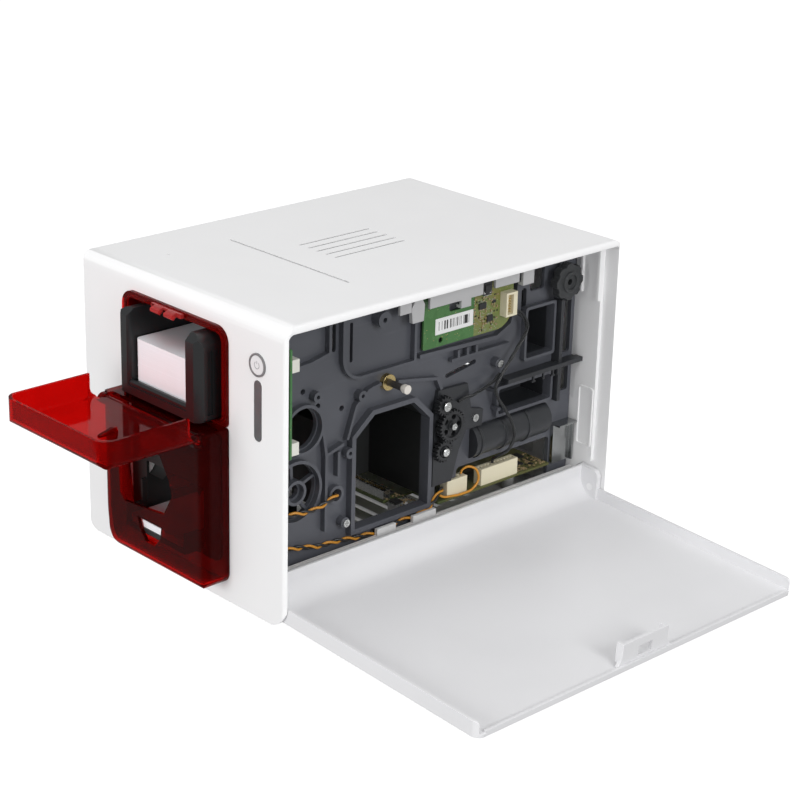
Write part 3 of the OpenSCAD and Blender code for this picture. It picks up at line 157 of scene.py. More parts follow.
class Value:
    """A number that varies over a surface: an output socket of a shader tree."""

    def __init__(self, graph: Graph, socket: bpy.types.NodeSocket) -> None:
        """Wraps a socket.

        Args:
            graph: The graph that the socket belongs to.
            socket: The output socket that carries the number.
        """
        self.graph = graph
        self.socket = socket

    def _math(self, operation: str, *operands: Number) -> Value:
        """Adds a Math node.

        Args:
            operation: The node's operation.
            operands: Its inputs in order.

        Returns:
            The node's result.
        """
        result = self.graph.first("ShaderNodeMath", {"operation": operation}, dict(enumerate(operands)))
        return Value(self.graph, result)

    def __add__(self, other: Number) -> Value:
        """Returns self + other."""
        return self._math("ADD", self, other)

    def __radd__(self, other: Number) -> Value:
        """Returns other + self."""
        return self._math("ADD", other, self)

    def __sub__(self, other: Number) -> Value:
        """Returns self - other."""
        return self._math("SUBTRACT", self, other)

    def __rsub__(self, other: Number) -> Value:
        """Returns other - self."""
        return self._math("SUBTRACT", other, self)

    def __mul__(self, other: Number) -> Value:
        """Returns self * other."""
        return self._math("MULTIPLY", self, other)

    def __rmul__(self, other: Number) -> Value:
        """Returns other * self."""
        return self._math("MULTIPLY", other, self)

    def __truediv__(self, other: Number) -> Value:
        """Returns self / other."""
        return self._math("DIVIDE", self, other)

    def __gt__(self, other: Number) -> Value:
        """Returns 1 where self is above other, and 0 elsewhere."""
        return self._math("GREATER_THAN", self, other)

    def __lt__(self, other: Number) -> Value:
        """Returns 1 where self is below other, and 0 elsewhere."""
        return self._math("LESS_THAN", self, other)

    def fraction(self) -> Value:
        """Returns the part after the decimal point."""
        return self._math("FRACT", self)

    def floored(self) -> Value:
        """Returns the whole number below."""
        return self._math("FLOOR", self)

    def smooth(self, low: float, high: float) -> Value:
        """Returns a soft step.

        Args:
            low: Where the step starts.
            high: Where it ends.

        Returns:
            0 below low, 1 above high, and a smooth rise between.
        """
        settings = {"interpolation_type": "SMOOTHSTEP"}
        inputs = {"Value": self, "From Min": low, "From Max": high, "To Min": 0.0, "To Max": 1.0}
        return Value(self.graph, self.graph.first("ShaderNodeMapRange", settings, inputs))


def plain(value: Any) -> Any:
    """Returns a Value's socket, and any other value as it is."""
    return value.socket if isinstance(value, Value) else value


class Graph(Nodes):
    """A material's node tree, written as expressions."""

    def __init__(self, name: str) -> None:
        """Makes an empty material.

        Args:
            name: The material's name.
        """
        self.material = bpy.data.materials.new(name)
        self.material.use_nodes = True
        super().__init__(self.material.node_tree)
        self.tree.nodes.clear()
        self._place: bpy.types.NodeSocket | None = None

    def place(self) -> bpy.types.NodeSocket:
        """Finds the point on the piece.

        Returns:
            The point, in metres. All uses share one node.
        """
        if self._place is None:
            self._place = self.node("ShaderNodeTexCoord").outputs["Object"]
        return self._place

    def stretched(self, scale: Triple, turn: Triple = (0.0, 0.0, 0.0)) -> bpy.types.NodeSocket:
        """Returns the point on the piece, scaled along each axis and turned.

        Args:
            scale: The scale along X, Y and Z.
            turn: The turn about X, Y and Z, in radians.

        Returns:
            The mapped point.
        """
        inputs = {"Vector": self.place(), "Scale": scale, "Rotation": turn}
        return self.first("ShaderNodeMapping", None, inputs)

    def along(self, axis: Axis) -> Value:
        """Returns the point's distance along an axis of the frame, in metres."""
        split = self.node("ShaderNodeSeparateXYZ", None, {0: self.place()})
        return Value(self, split.outputs[axis.name])

    def noise(self, scale: float, detail: float = 2.0, roughness: float = 0.5, place: Any = None) -> Value:
        """Returns a noise from 0 to 1.

        Args:
            scale: Waves to a metre.
            detail: How many finer layers it has.
            roughness: How strong the finer layers are.
            place: The point that it is read at, if not the point on the piece.

        Returns:
            The noise.
        """
        inputs = {"Vector": place or self.place(), "Scale": scale, "Detail": detail, "Roughness": roughness}
        return Value(self, self.first("ShaderNodeTexNoise", None, inputs))

    def cells(self, scale: float, metric: str = "EUCLIDEAN") -> Value:
        """Returns the distance to the middle of the nearest cell of an irregular pattern.

        Args:
            scale: Cells to a metre.
            metric: How the distance is measured.

        Returns:
            The distance, in cells.
        """
        settings = {"distance": metric, "feature": "F1"}
        inputs = {"Vector": self.place(), "Scale": scale}
        return Value(self, self.node("ShaderNodeTexVoronoi", settings, inputs).outputs["Distance"])

    def random(self, place: Value) -> Value:
        """Returns a random number from 0 to 1 for each whole number of a value."""
        node = self.node("ShaderNodeTexWhiteNoise", {"noise_dimensions": "1D"}, {"W": place})
        return Value(self, node.outputs["Value"])

    def mix(self, share: Number, first: Any, second: Any) -> bpy.types.NodeSocket:
        """Returns a colour between two colours.

        Args:
            share: 0 for the first colour, 1 for the second.
            first: A colour, or a socket that carries one.
            second: A colour, or a socket that carries one.

        Returns:
            The mixed colour.
        """
        inputs = {0: share, **dict(zip(MIX_COLOURS, (wide(first), wide(second))))}
        return self.node("ShaderNodeMix", {"data_type": "RGBA"}, inputs).outputs[MIXED_COLOUR]

    def clouded(self, field: Value, colour: Colour, change: float) -> bpy.types.NodeSocket:
        """Returns a colour that is a little darker where a field is low and lighter where it is high.

        Args:
            field: The field, from 0 to 1.
            colour: The colour between the two.
            change: How far it goes to either side, as a share.

        Returns:
            The clouded colour.
        """
        return self.mix(field.smooth(0.3, 0.7), shade(colour, 1 - change), shade(colour, 1 + change))

    def bump(self, height: Value, depth: float, strength: float) -> bpy.types.NodeSocket:
        """Returns a bumped normal.

        Args:
            height: The relief from 0 to 1.
            depth: How deep the relief is, in metres.
            strength: How much of it shows.

        Returns:
            The normal.
        """
        inputs = {"Height": height, "Distance": depth, "Strength": strength}
        return self.first("ShaderNodeBump", None, inputs)

    def surface(self, **inputs: Any) -> None:
        """Ends the graph in one Principled shader.

        Args:
            inputs: Its sockets, named in lower case with underscores.
        """
        named = {}
        for key, value in inputs.items():
            named[key.replace("_", " ").title().replace("Ior", "IOR")] = wide(value)
        shader = self.first("ShaderNodeBsdfPrincipled", None, named)
        self.node("ShaderNodeOutputMaterial", None, {"Surface": shader})


def wide(value: Any) -> Any:
    """Returns a plain colour with its alpha, and any other value as it is."""
    return (*value, 1.0) if isinstance(value, tuple) and len(value) == 3 else value


def shade(colour: Colour, factor: float) -> Colour:
    """Returns a colour made lighter or darker by a factor."""
    return tuple(min(1.0, c * factor) for c in colour)


# ---- Finishes ----

PAD_GOLD: Colour = (0.62, 0.5, 0.2)
CLEAR_TINT: Colour = (1.0, 0.4, 0.35)


@dataclass(frozen=True)
class Finish:
    """A surface finish, made into a material once.

    Attributes:
        name: The material's name.
    """

    name: str

    def material(self) -> bpy.types.Material:
        """Makes the finish's material, or finds it when it is made already.

        Returns:
            The material.
        """
        found = bpy.data.materials.get(self.name)
        if found is not None:
            return found
        graph = Graph(self.name)
        self.draw(graph)
        return graph.material

    def draw(self, graph: Graph) -> None:
        """Fills in the material's graph."""
        raise NotImplementedError


@dataclass(frozen=True)
class MouldedPlastic(Finish):
    """Injection-moulded plastic with a spark-eroded grain and faint flow clouding.

    Attributes:
        colour: Its colour.
        roughness: Its roughness.
        grain: How strong the grain is.
        grain_size: The size of the grain, in metres.
        cloud: How far the clouding changes the colour, as a share.
        pale_streaks: How much of the pale streaks shows.
    """

    colour: Colour
    roughness: float = 0.42
    grain: float = 0.12
    grain_size: float = 0.00045
    cloud: float = 0.03
    pale_streaks: float = 0.0

    def draw(self, graph: Graph) -> None:
        """Fills in the material's graph.

        Args:
            graph: The graph.
        """
        flow = graph.noise(9.0, detail=3.0, roughness=0.55)
        fine = graph.noise(1.0 / self.grain_size, detail=2.0, roughness=0.6)
        patch = graph.noise(60.0, detail=4.0, roughness=0.6)
        colour = graph.clouded(flow, self.colour, self.cloud)
        # Pale streaks along a stretched noise, lighter than the plastic.
        if self.pale_streaks:
            drawn = graph.stretched((1.0, 0.2, 3.0), (0.4, 0.2, 0.0))
            streaks = graph.noise(90.0, detail=5.0, roughness=0.7, place=drawn)
            colour = graph.mix(streaks.smooth(0.56, 0.78) * self.pale_streaks, colour, shade(self.colour, 2.2))
        graph.surface(
            base_color=colour,
            roughness=self.roughness + (patch - 0.5) * 0.1,
            ior=1.5,
            normal=graph.bump(fine, depth=0.00006, strength=self.grain),
        )


@dataclass(frozen=True)
class ClearPlastic(Finish):
    """Dyed see-through plastic, polished, with faint sink marks and, on some, a painted highlight: a lighter
    colour along one end.

    Attributes:
        colour: Its colour.
        clear: How much light goes through, as a share.
        roughness: Its roughness where it is clean.
        index: Its index of refraction.
        rim: The colour of the painted highlight at the lighter end, if it has one.
        rim_axis: The axis that the painted highlight fades along.
        rim_span: Where the painted highlight ends and where the colour starts, in metres.
    """

    colour: Colour
    clear: float = 0.92
    roughness: float = 0.05
    index: float = 1.17
    rim: Colour | None = None
    rim_axis: Axis = Axis.Z
    rim_span: Pair = (0.0, 0.0)

    def draw(self, graph: Graph) -> None:
        """Fills in the material's graph.

        Args:
            graph: The graph.
        """
        wave = graph.noise(38.0, detail=2.0, roughness=0.4)
        smear = graph.noise(140.0, detail=4.0, roughness=0.6)
        colour = graph.clouded(wave, self.colour, 0.07)
        # The lighter colour at one end is a painted highlight.
        if self.rim is not None:
            colour = graph.mix(graph.along(self.rim_axis).smooth(*self.rim_span), self.rim, colour)
        graph.surface(
            base_color=colour,
            roughness=self.roughness + smear * 0.05,
            transmission_weight=self.clear,
            specular_ior_level=0.3,
            specular_tint=CLEAR_TINT,
            ior=self.index,
            normal=graph.bump(wave, depth=0.0002, strength=0.25),
        )


@dataclass(frozen=True)
class BareMetal(Finish):
    """Turned, drawn or brushed metal.

    Attributes:
        colour: Its colour.
        roughness: Its roughness.
        streak: How close the tool marks lie along each axis.
    """

    colour: Colour
    roughness: float = 0.28
    streak: Triple = (1.0, 1.0, 18.0)

    def draw(self, graph: Graph) -> None:
        """Fills in the material's graph.

        Args:
            graph: The graph.
        """
        lines = graph.noise(420.0, detail=3.0, roughness=0.6, place=graph.stretched(self.streak))
        stain = graph.noise(70.0, detail=3.0, roughness=0.5)
        graph.surface(
            base_color=graph.mix(stain.smooth(0.35, 0.75), self.colour, shade(self.colour, 0.86)),
            metallic=1.0,
            roughness=self.roughness + (lines - 0.5) * 0.16,
            normal=graph.bump(lines, depth=0.00003, strength=0.3),
        )


@dataclass(frozen=True)
class Rubber(Finish):
    """Soft matt rubber or cable insulation.

    Attributes:
        colour: Its colour.
        roughness: Its roughness.
    """

    colour: Colour
    roughness: float = 0.6

    def draw(self, graph: Graph) -> None:
        """Fills in the material's graph.

        Args:
            graph: The graph.
        """
        dust = graph.noise(210.0, detail=4.0, roughness=0.65)
        fine = graph.noise(2600.0, detail=1.0, roughness=0.5)
        graph.surface(
            base_color=graph.mix(dust.smooth(0.45, 0.85) * 0.35, self.colour, shade(self.colour, 1.5)),
            roughness=self.roughness + (dust - 0.5) * 0.12,
            normal=graph.bump(fine, depth=0.00003, strength=0.2),
        )


@dataclass(frozen=True)
class CircuitBoard(Finish):
    """Glass-fibre board under solder mask, with tracks, vias and a second area of another colour.

    Attributes:
        mask: The colour of the solder mask.
        copper: The colour of the tracks under it.
        field: The colour of the second area.
        field_from: Where the second area starts along Y, in metres.
        pitch: The distance of the tracks' bends, in metres.
        tracks: How many tracks run side by side from bend to bend.
        vias: How many vias lie along a metre.
        via_size: The radius of a via, as a share of their distance.
    """

    mask: Colour
    copper: Colour
    field: Colour
    field_from: float
    pitch: float = 0.0075
    tracks: float = 7.0
    vias: float = 520.0
    via_size: float = 0.16

    def draw(self, graph: Graph) -> None:
        """Fills in the material's graph.

        Args:
            graph: The graph.
        """
        route = graph.cells(1.0 / self.pitch, "MANHATTAN")
        lines = (route * self.tracks).fraction().smooth(0.5, 0.62)
        tracks = lines * (graph.noise(95.0, detail=1.0) > 0.47)
        pads = (graph.cells(self.vias) < self.via_size) * (graph.noise(150.0, detail=1.0) > 0.5)
        area = graph.along(Axis.Y) > self.field_from
        ground = graph.mix(area, self.mask, self.field)
        lacquer = graph.mix(tracks * 0.55, ground, self.copper)
        graph.surface(
            base_color=graph.mix(pads, lacquer, PAD_GOLD),
            roughness=0.32 + graph.noise(900.0, detail=2.0) * 0.1 - pads * 0.1,
            metallic=pads * 0.8,
            coat_weight=0.3,
            normal=graph.bump(tracks + pads, depth=0.00005, strength=0.5),
        )


@dataclass(frozen=True)
class CardStock(Finish):
    """Laminated plastic card.

    Attributes:
        colour: Its colour.
    """

    colour: Colour

    def draw(self, graph: Graph) -> None:
        """Fills in the material's graph.

        Args:
            graph: The graph.
        """
        tone = graph.noise(26.0, detail=2.0)
        graph.surface(
            base_color=graph.mix(tone.smooth(0.3, 0.7), self.colour, shade(self.colour, 0.97)),
            roughness=0.34 + graph.noise(300.0, detail=3.0) * 0.06,
            coat_weight=0.15,
            normal=graph.bump(tone, depth=0.0001, strength=0.1),
        )


@dataclass(frozen=True)
class FrostedLens(Finish):
    """Milky light guide of the status light.

    Attributes:
        colour: Its colour.
    """

    colour: Colour

    def draw(self, graph: Graph) -> None:
        """Fills in the material's graph.

        Args:
            graph: The graph.
        """
        frost = graph.noise(1500.0, detail=2.0)
        middle = graph.noise(45.0, detail=1.0)
        graph.surface(
            base_color=graph.clouded(middle, self.colour, 0.08),
            roughness=0.3 + frost * 0.12,
            subsurface_weight=0.15,
            normal=graph.bump(frost, depth=0.00004, strength=0.25),
        )


@dataclass(frozen=True)
class PrintedLabel(Finish):
    """Paper label with a plain row of printed bars.

    Attributes:
        paper: The colour of the paper.
        ink: The colour of the bars.
        bars_from: Where the bars start along Y, in metres.
        bars_to: Where they end along Y.
        low: Where they start along Z.
        high: Where they end along Z.
        pitch: The width of the narrowest bar.
    """

    paper: Colour
    ink: Colour
    bars_from: float
    bars_to: float
    low: float
    high: float
    pitch: float = 0.00042

    def draw(self, graph: Graph) -> None:
        """Fills in the material's graph.

        Args:
            graph: The graph.
        """
        y = graph.along(Axis.Y)
        z = graph.along(Axis.Z)
        bar = graph.random((y / self.pitch).floored()) > 0.5
        strip = (y > self.bars_from) * (y < self.bars_to) * (z > self.low) * (z < self.high)
        graph.surface(
            base_color=graph.mix(bar * strip, self.paper, self.ink),
            roughness=0.55 + graph.noise(800.0, detail=2.0) * 0.1,
            normal=graph.bump(graph.noise(2200.0, detail=2.0), depth=0.00003, strength=0.2),
        )


@dataclass(frozen=True)
class TippedShaft(Finish):
    """Dark turned shaft with a pale tip along X.

    Attributes:
        colour: The shaft's colour.
        tip: The tip's colour.
        tip_from: Where the tip starts along X, in metres.
        blend: How far the two colours reach into each other.
    """

    colour: Colour
    tip: Colour
    tip_from: float
    blend: float = 0.0003

    def draw(self, graph: Graph) -> None:
        """Fills in the material's graph.

        Args:
            graph: The graph.
        """
        rings = graph.noise(900.0, detail=2.0, roughness=0.5, place=graph.stretched((6.0, 0.2, 0.2)))
        end = graph.along(Axis.X).smooth(self.tip_from - self.blend, self.tip_from + self.blend)
        graph.surface(
            base_color=graph.mix(end, self.colour, self.tip),
            roughness=0.3 + rings * 0.1,
            normal=graph.bump(rings, depth=0.00004, strength=0.3),
        )


# A plastic has its colour, roughness, grain, grain size, clouding and pale streaks, in this order.
WHITE_SHELL = MouldedPlastic("white_shell_plastic", (0.86, 0.86, 0.865), 0.45, 0.10, 0.0005, 0.012)
WHITE_COVER = MouldedPlastic("white_cover_plastic", (0.76, 0.76, 0.775), 0.36, 0.08, 0.0005, 0.02)
BASE_WHITE = MouldedPlastic("base_plastic", (0.7, 0.7, 0.7), 0.5, 0.12, 0.0006, 0.03)
CLEAR_RED = ClearPlastic("clear_red_plastic", (0.46, 0.002, 0.0015))
# The frame's front lip and the hopper's lower end get a lighter red as a painted highlight.
FRAME_RED = ClearPlastic(
    "frame_red_plastic", (0.46, 0.002, 0.0015),
    rim=(0.8, 0.014, 0.011), rim_axis=Axis.Y, rim_span=(-0.1422, -0.1408),
)
DEEP_RED = ClearPlastic(
    "deep_red_plastic", (0.17, 0.0016, 0.0014), rim=(0.5, 0.003, 0.002), rim_span=(0.0185, 0.027)
)
LATCH_RED = ClearPlastic("latch_red_plastic", (0.6, 0.05, 0.05), clear=0.55, roughness=0.16, index=1.35)
BLACK_SATIN = MouldedPlastic("black_satin_plastic", (0.01, 0.011, 0.012), 0.3, 0.15, 0.0006, 0.12)
BLACK_DULL = MouldedPlastic("black_dull_plastic", (0.012, 0.013, 0.013), 0.55, 0.3, 0.0006, 0.12)
CHASSIS_GREY = MouldedPlastic("chassis_plastic", (0.08, 0.084, 0.098), 0.33, 0.22, 0.0008, 0.16, 0.14)
DRIVE_BLACK = MouldedPlastic("drive_plastic", (0.028, 0.03, 0.034), 0.34, 0.25, 0.0008, 0.18, 0.16)
GEAR_BLACK = MouldedPlastic("gear_acetal", (0.02, 0.021, 0.023), 0.34, 0.1, 0.0005, 0.1)
KNOB_BLACK = MouldedPlastic("knob_plastic", (0.03, 0.032, 0.034), 0.46, 0.25, 0.0006, 0.1)
BUTTON_WHITE = MouldedPlastic("button_plastic", (0.8, 0.8, 0.81), 0.3, 0.05, 0.0005, 0.01)
RING_GREY = MouldedPlastic("ring_plastic", (0.2, 0.2, 0.205), 0.3, 0.05, 0.0005, 0.02)
MARK_GREY = MouldedPlastic("mark_ink", (0.35, 0.35, 0.36), 0.4, 0.05, 0.0003, 0.02)
# Dark grey of the bars under the roof's slits, which paint the shade inside the slits.
SLIT_SHADE_GREY = MouldedPlastic("painted_slit_shade", (0.2, 0.2, 0.205), 0.6, 0.1, 0.0006, 0.05)
RAIL_GREY = MouldedPlastic("rail_plastic", (0.47, 0.47, 0.475), 0.4, 0.15, 0.0006, 0.05)
IVORY = MouldedPlastic("ivory_nylon", (0.8, 0.74, 0.55), 0.42, 0.12, 0.0005, 0.05)
NYLON_WHITE = MouldedPlastic("white_nylon", (0.8, 0.79, 0.72), 0.4, 0.12, 0.0005, 0.03)
SPINDLE = TippedShaft("spindle_plastic", (0.05, 0.045, 0.042), (0.74, 0.7, 0.64), 0.0815)
CHIP_BLACK = MouldedPlastic("chip_epoxy", (0.02, 0.02, 0.021), 0.42, 0.3, 0.0003, 0.1)
CARD_WHITE = CardStock("card_laminate", (0.93, 0.94, 0.98))
LIGHT_GREY = FrostedLens("status_lens", (0.11, 0.11, 0.115))
STEEL = BareMetal("bright_steel", (0.74, 0.75, 0.74), 0.26)
BRACKET_STEEL = BareMetal("bracket_steel", (0.42, 0.43, 0.43), 0.2)
TINNED = BareMetal("tinned_copper", (0.8, 0.8, 0.78), 0.22)
CERAMIC = MouldedPlastic("ceramic_parts", (0.36, 0.27, 0.15), 0.4, 0.1, 0.0003, 0.2)
BRASS = BareMetal("turned_brass", (0.72, 0.56, 0.26), 0.25, (18.0, 1.0, 1.0))
FOOT_RUBBER = Rubber("foot_rubber", (0.03, 0.03, 0.03), 0.75)
WIRE_ORANGE = Rubber("orange_insulation", (0.59, 0.257, 0.024), 0.42)
WIRE_BLACK = Rubber("black_insulation", (0.02, 0.021, 0.022), 0.3)
BOARD_GREEN = CircuitBoard(
    "sensor_board_mask", (0.05, 0.16, 0.04), (0.09, 0.24, 0.07), field=(0.19, 0.19, 0.05), field_from=0.039
)
FRONT_GREEN = CircuitBoard(
    "front_board_mask", (0.05, 0.18, 0.05), (0.09, 0.26, 0.08), field=(0.05, 0.18, 0.05), field_from=1.0
)
BOARD_OLIVE = CircuitBoard(
    "main_board_mask", (0.07, 0.09, 0.03), (0.14, 0.17, 0.05), field=(0.12, 0.12, 0.04), field_from=0.02
)
BOARD_LABEL = PrintedLabel(
    "board_label_paper", (0.82, 0.82, 0.82), (0.03, 0.03, 0.03),
    bars_from=0.0075, bars_to=0.0352, low=0.1525, high=0.1583,
)


# ---- Geometry Nodes ----

SOCKET_TYPES = {int: "NodeSocketInt", float: "NodeSocketFloat", tuple: "NodeSocketVector"}
ORIGIN: Triple = (0.0, 0.0, 0.0)


class Tree(Nodes):
    """A Geometry Nodes tree with named inputs, which ends in one material."""

    def __init__(self, name: str, inputs: Mapping[str, Union[int, float, Triple]]) -> None:
        """Makes a tree with its inputs.

        Args:
            name: The tree's name.
            inputs: The default of each named input. Its type gives the socket's type.
        """
        super().__init__(bpy.data.node_groups.new(name, "GeometryNodeTree"))
        ports = self.tree.interface
        ports.new_socket("Geometry", in_out="INPUT", socket_type="NodeSocketGeometry")
        for label, default in inputs.items():
            socket = ports.new_socket(label, in_out="INPUT", socket_type=SOCKET_TYPES[type(default)])
            socket.default_value = default
        ports.new_socket("Material", in_out="INPUT", socket_type="NodeSocketMaterial")
        ports.new_socket("Geometry", in_out="OUTPUT", socket_type="NodeSocketGeometry")
        self.start = self.tree.nodes.new("NodeGroupInput")

    def given(self, label: str) -> bpy.types.NodeSocket:
        """Returns the socket of a named input."""
        return self.start.outputs[label]

    def math(self, operation: str, first: Any, second: Any) -> bpy.types.NodeSocket:
        """Returns the result of a Math node on two numbers or sockets."""
        return self.first("ShaderNodeMath", {"operation": operation}, {0: first, 1: second})

    def upright(self, z: Any) -> bpy.types.NodeSocket:
        """Returns a vector along Z of a number's or a socket's length."""
        return self.first("ShaderNodeCombineXYZ", None, {2: z})

    def scatter(self, span: Triple, seed: Any, reach: str) -> bpy.types.NodeSocket:
        """Returns a random vector for each instance.

        Args:
            span: How far the vector may go to either side along each axis.
            seed: The fixed seed, or the input that carries it.
            reach: The named input that the vector is scaled by.

        Returns:
            The random vector.
        """
        inputs = {"Min": tuple(-s for s in span), "Max": span, "Seed": seed}
        way = self.first("FunctionNodeRandomValue", {"data_type": "FLOAT_VECTOR"}, inputs)
        scaled = {0: way, "Scale": self.given(reach)}
        return self.first("ShaderNodeVectorMath", {"operation": "SCALE"}, scaled)

    def close(self, geometry: bpy.types.NodeSocket) -> None:
        """Ends the tree: instances are made real and get the material.

        Args:
            geometry: What the tree has made.
        """
        real = self.first("GeometryNodeRealizeInstances", None, {"Geometry": geometry})
        dress = {"Geometry": real, "Material": self.given("Material")}
        dressed = self.first("GeometryNodeSetMaterial", None, dress)
        self.node("NodeGroupOutput", None, {"Geometry": dressed})

    def grow(
        self,
        name: str,
        finish: Finish,
        values: Mapping[str, Any],
        base: bpy.types.Mesh | None = None,
    ) -> bpy.types.Object:
        """Runs the tree and keeps its result as a plain mesh.

        Args:
            name: The new piece's name.
            finish: Its finish.
            values: The values of the named inputs.
            base: The mesh that the tree starts from, if it reads one.

        Returns:
            The new piece.
        """
        mesh = base or bpy.data.meshes.new(name + "_start")
        piece = link(name, mesh)
        modifier = piece.modifiers.new("grow", "NODES")
        modifier.node_group = self.tree
        ports = self.tree.interface.items_tree
        identifiers = {port.name: port.identifier for port in ports if port.in_out == "INPUT"}
        for label, value in {**values, "Material": finish.material()}.items():
            modifier[identifiers[label]] = value
        bpy.context.view_layer.update()
        graph = bpy.context.evaluated_depsgraph_get()
        grown = bpy.data.meshes.new_from_object(piece.evaluated_get(graph), depsgraph=graph)
        piece.modifiers.clear()
        piece.data = grown
        bpy.data.meshes.remove(mesh)
        return piece


def card_pile_tree() -> Tree:
    """Makes the tree of a pile of round-cornered cards that lie a little askew.

    Returns:
        A tree with the inputs Count, Pitch, Thickness, Width, Length, Corner, Slip, Turn, Seed and Centre.
    """
    tree = Tree("card_pile", {
        "Count": 10, "Pitch": 0.00077, "Thickness": 0.00074, "Width": 0.054, "Length": 0.0856,
        "Corner": 0.0032, "Slip": 0.0003, "Turn": 0.002, "Seed": 3, "Centre": ORIGIN,
    })
    sides = {"Width": tree.given("Width"), "Height": tree.given("Length")}
    outline = tree.first("GeometryNodeCurvePrimitiveQuadrilateral", None, sides)
    corners = {"Curve": outline, "Count": 5, "Radius": tree.given("Corner")}
    rounded = tree.first("GeometryNodeFilletCurve", {"mode": "POLY"}, corners)
    face = tree.first("GeometryNodeFillCurve", {"mode": "NGONS"}, {"Curve": rounded})
    lift = {"Mesh": face, "Offset Scale": tree.given("Thickness"), "Offset": Axis.Z.value}
    body = tree.first("GeometryNodeExtrudeMesh", {"mode": "FACES"}, lift)
    under = tree.first("GeometryNodeFlipFaces", None, {"Mesh": face})
    shell = tree.first("GeometryNodeJoinGeometry", None, {"Geometry": [body, under]})
    card = tree.first("GeometryNodeMergeByDistance", None, {"Geometry": shell, "Distance": 1e-6})
    rise = tree.upright(tree.given("Pitch"))
    line = {"Count": tree.given("Count"), "Start Location": tree.given("Centre"), "Offset": rise}
    places = tree.first("GeometryNodeMeshLine", None, line)
    pile = tree.first("GeometryNodeInstanceOnPoints", None, {"Points": places, "Instance": card})
    slip = {"Instances": pile, "Translation": tree.scatter((1.0, 1.0, 0.0), tree.given("Seed"), "Slip")}
    slid = tree.first("GeometryNodeTranslateInstances", None, slip)
    turn_seed = tree.math("ADD", tree.given("Seed"), 7.0)
    turn = {"Instances": slid, "Rotation": tree.scatter((0.0, 0.0, 1.0), turn_seed, "Turn")}
    tree.close(tree.first("GeometryNodeRotateInstances", None, turn))
    return tree


def part_grid_tree() -> Tree:
    """Makes the tree of small blocks in rows, some of them left out.

    Returns:
        A tree with the inputs Columns, Rows, Span, Size, Share, Jitter, Seed, Centre and Turn.
    """
    tree = Tree("part_grid", {
        "Columns": 6, "Rows": 6, "Span": (0.02, 0.02, 0.0), "Size": (0.0016, 0.0008, 0.0006),
        "Share": 0.6, "Jitter": 0.0004, "Seed": 1, "Centre": ORIGIN, "Turn": ORIGIN,
    })
    seed = tree.given("Seed")
    span = tree.node("ShaderNodeSeparateXYZ", None, {0: tree.given("Span")})
    grid = {
        "Size X": span.outputs[0], "Size Y": span.outputs[1],
        "Vertices X": tree.given("Columns"), "Vertices Y": tree.given("Rows"),
    }
    sheet = tree.first("GeometryNodeMeshGrid", None, grid)
    odds = {"Probability": tree.given("Share"), "Seed": seed}
    chosen = tree.node("FunctionNodeRandomValue", {"data_type": "BOOLEAN"}, odds).outputs[RANDOM_CHOICE]
    points = tree.first("GeometryNodeMeshToPoints", None, {"Mesh": sheet, "Selection": chosen})
    drift = tree.scatter((1.0, 1.0, 0.0), tree.math("ADD", seed, 3.0), "Jitter")
    spread = tree.first("GeometryNodeSetPosition", None, {"Geometry": points, "Offset": drift})
    block = tree.first("GeometryNodeMeshCube", None, {"Size": tree.given("Size")})
    ways = {LOWEST_COUNT: 0, HIGHEST_COUNT: 1, "Seed": seed}
    way = tree.node("FunctionNodeRandomValue", {"data_type": "INT"}, ways).outputs[RANDOM_COUNT]
    quarter = tree.upright(tree.math("MULTIPLY", way, math.pi / 2))
    stand = {"Points": spread, "Instance": block, "Rotation": quarter}
    parts = tree.first("GeometryNodeInstanceOnPoints", None, stand)
    real = tree.first("GeometryNodeRealizeInstances", None, {"Geometry": parts})
    move = {"Geometry": real, "Translation": tree.given("Centre"), "Rotation": tree.given("Turn")}
    tree.close(tree.first("GeometryNodeTransform", None, move))
    return tree


def wire_tree() -> Tree:
    """Makes the tree that sweeps a round wire along lines of points.

    Returns:
        A tree with the inputs Radius and Sides.
    """
    tree = Tree("wire", {"Radius": 0.0008, "Sides": 12})
    line = tree.first("GeometryNodeMeshToCurve", None, {"Mesh": tree.given("Geometry")})
    ring = {"Resolution": tree.given("Sides"), "Radius": tree.given("Radius")}
    profile = tree.first("GeometryNodeCurvePrimitiveCircle", None, ring)
    sweep = {"Curve": line, "Profile Curve": profile, "Fill Caps": True}
    tube = tree.first("GeometryNodeCurveToMesh", None, sweep)
    tree.close(tree.first("GeometryNodeSetShadeSmooth", None, {"Geometry": tube, "Shade Smooth": True}))
    return tree


# ---- Meshes made by hand ----

Corners = tuple[Triple, Triple]


def link(name: str, data: bpy.types.ID) -> bpy.types.Object:
    """Puts a new object into the scene.

    Args:
        name: The object's name.
        data: The mesh, light or camera that it carries.

    Returns:
        The object.
    """
    made = bpy.data.objects.new(name, data)
    bpy.context.scene.collection.objects.link(made)
    return made


def mesh_piece(name: str, build: bmesh.types.BMesh, finish: Finish) -> bpy.types.Object:
    """Makes a piece of a built mesh.

    Args:
        name: The piece's name.
        build: The mesh, in the frame.
        finish: The piece's finish.

    Returns:
        The piece, at the origin.
    """
    mesh = bpy.data.meshes.new(name)
    bmesh.ops.recalc_face_normals(build, faces=build.faces)
    build.to_mesh(mesh)
    build.free()
    mesh.materials.append(finish.material())
    return link(name, mesh)


def add_block(build: bmesh.types.BMesh, place: Vector, corners: Corners, chamfer: float = 0.0) -> None:
    """Adds a block with its edges broken.

    Args:
        build: The mesh that it is added to.
        place: The point that its corners are measured from, in metres.
        corners: Its lowest and its highest corner, in millimetres.
        chamfer: The width of the broken edges, in millimetres.
    """
    low, high = (place + Vector(corner) * MM for corner in corners)
    stand = Matrix.Translation((low + high) / 2) @ Matrix.Diagonal((*(high - low), 1.0))
    made = bmesh.ops.create_cube(build, size=1.0, matrix=stand)
    if chamfer:
        edges = list({edge for corner in made["verts"] for edge in corner.link_edges})
        bmesh.ops.bevel(build, geom=edges, offset=chamfer * MM, segments=2, profile=0.6, affect="EDGES")


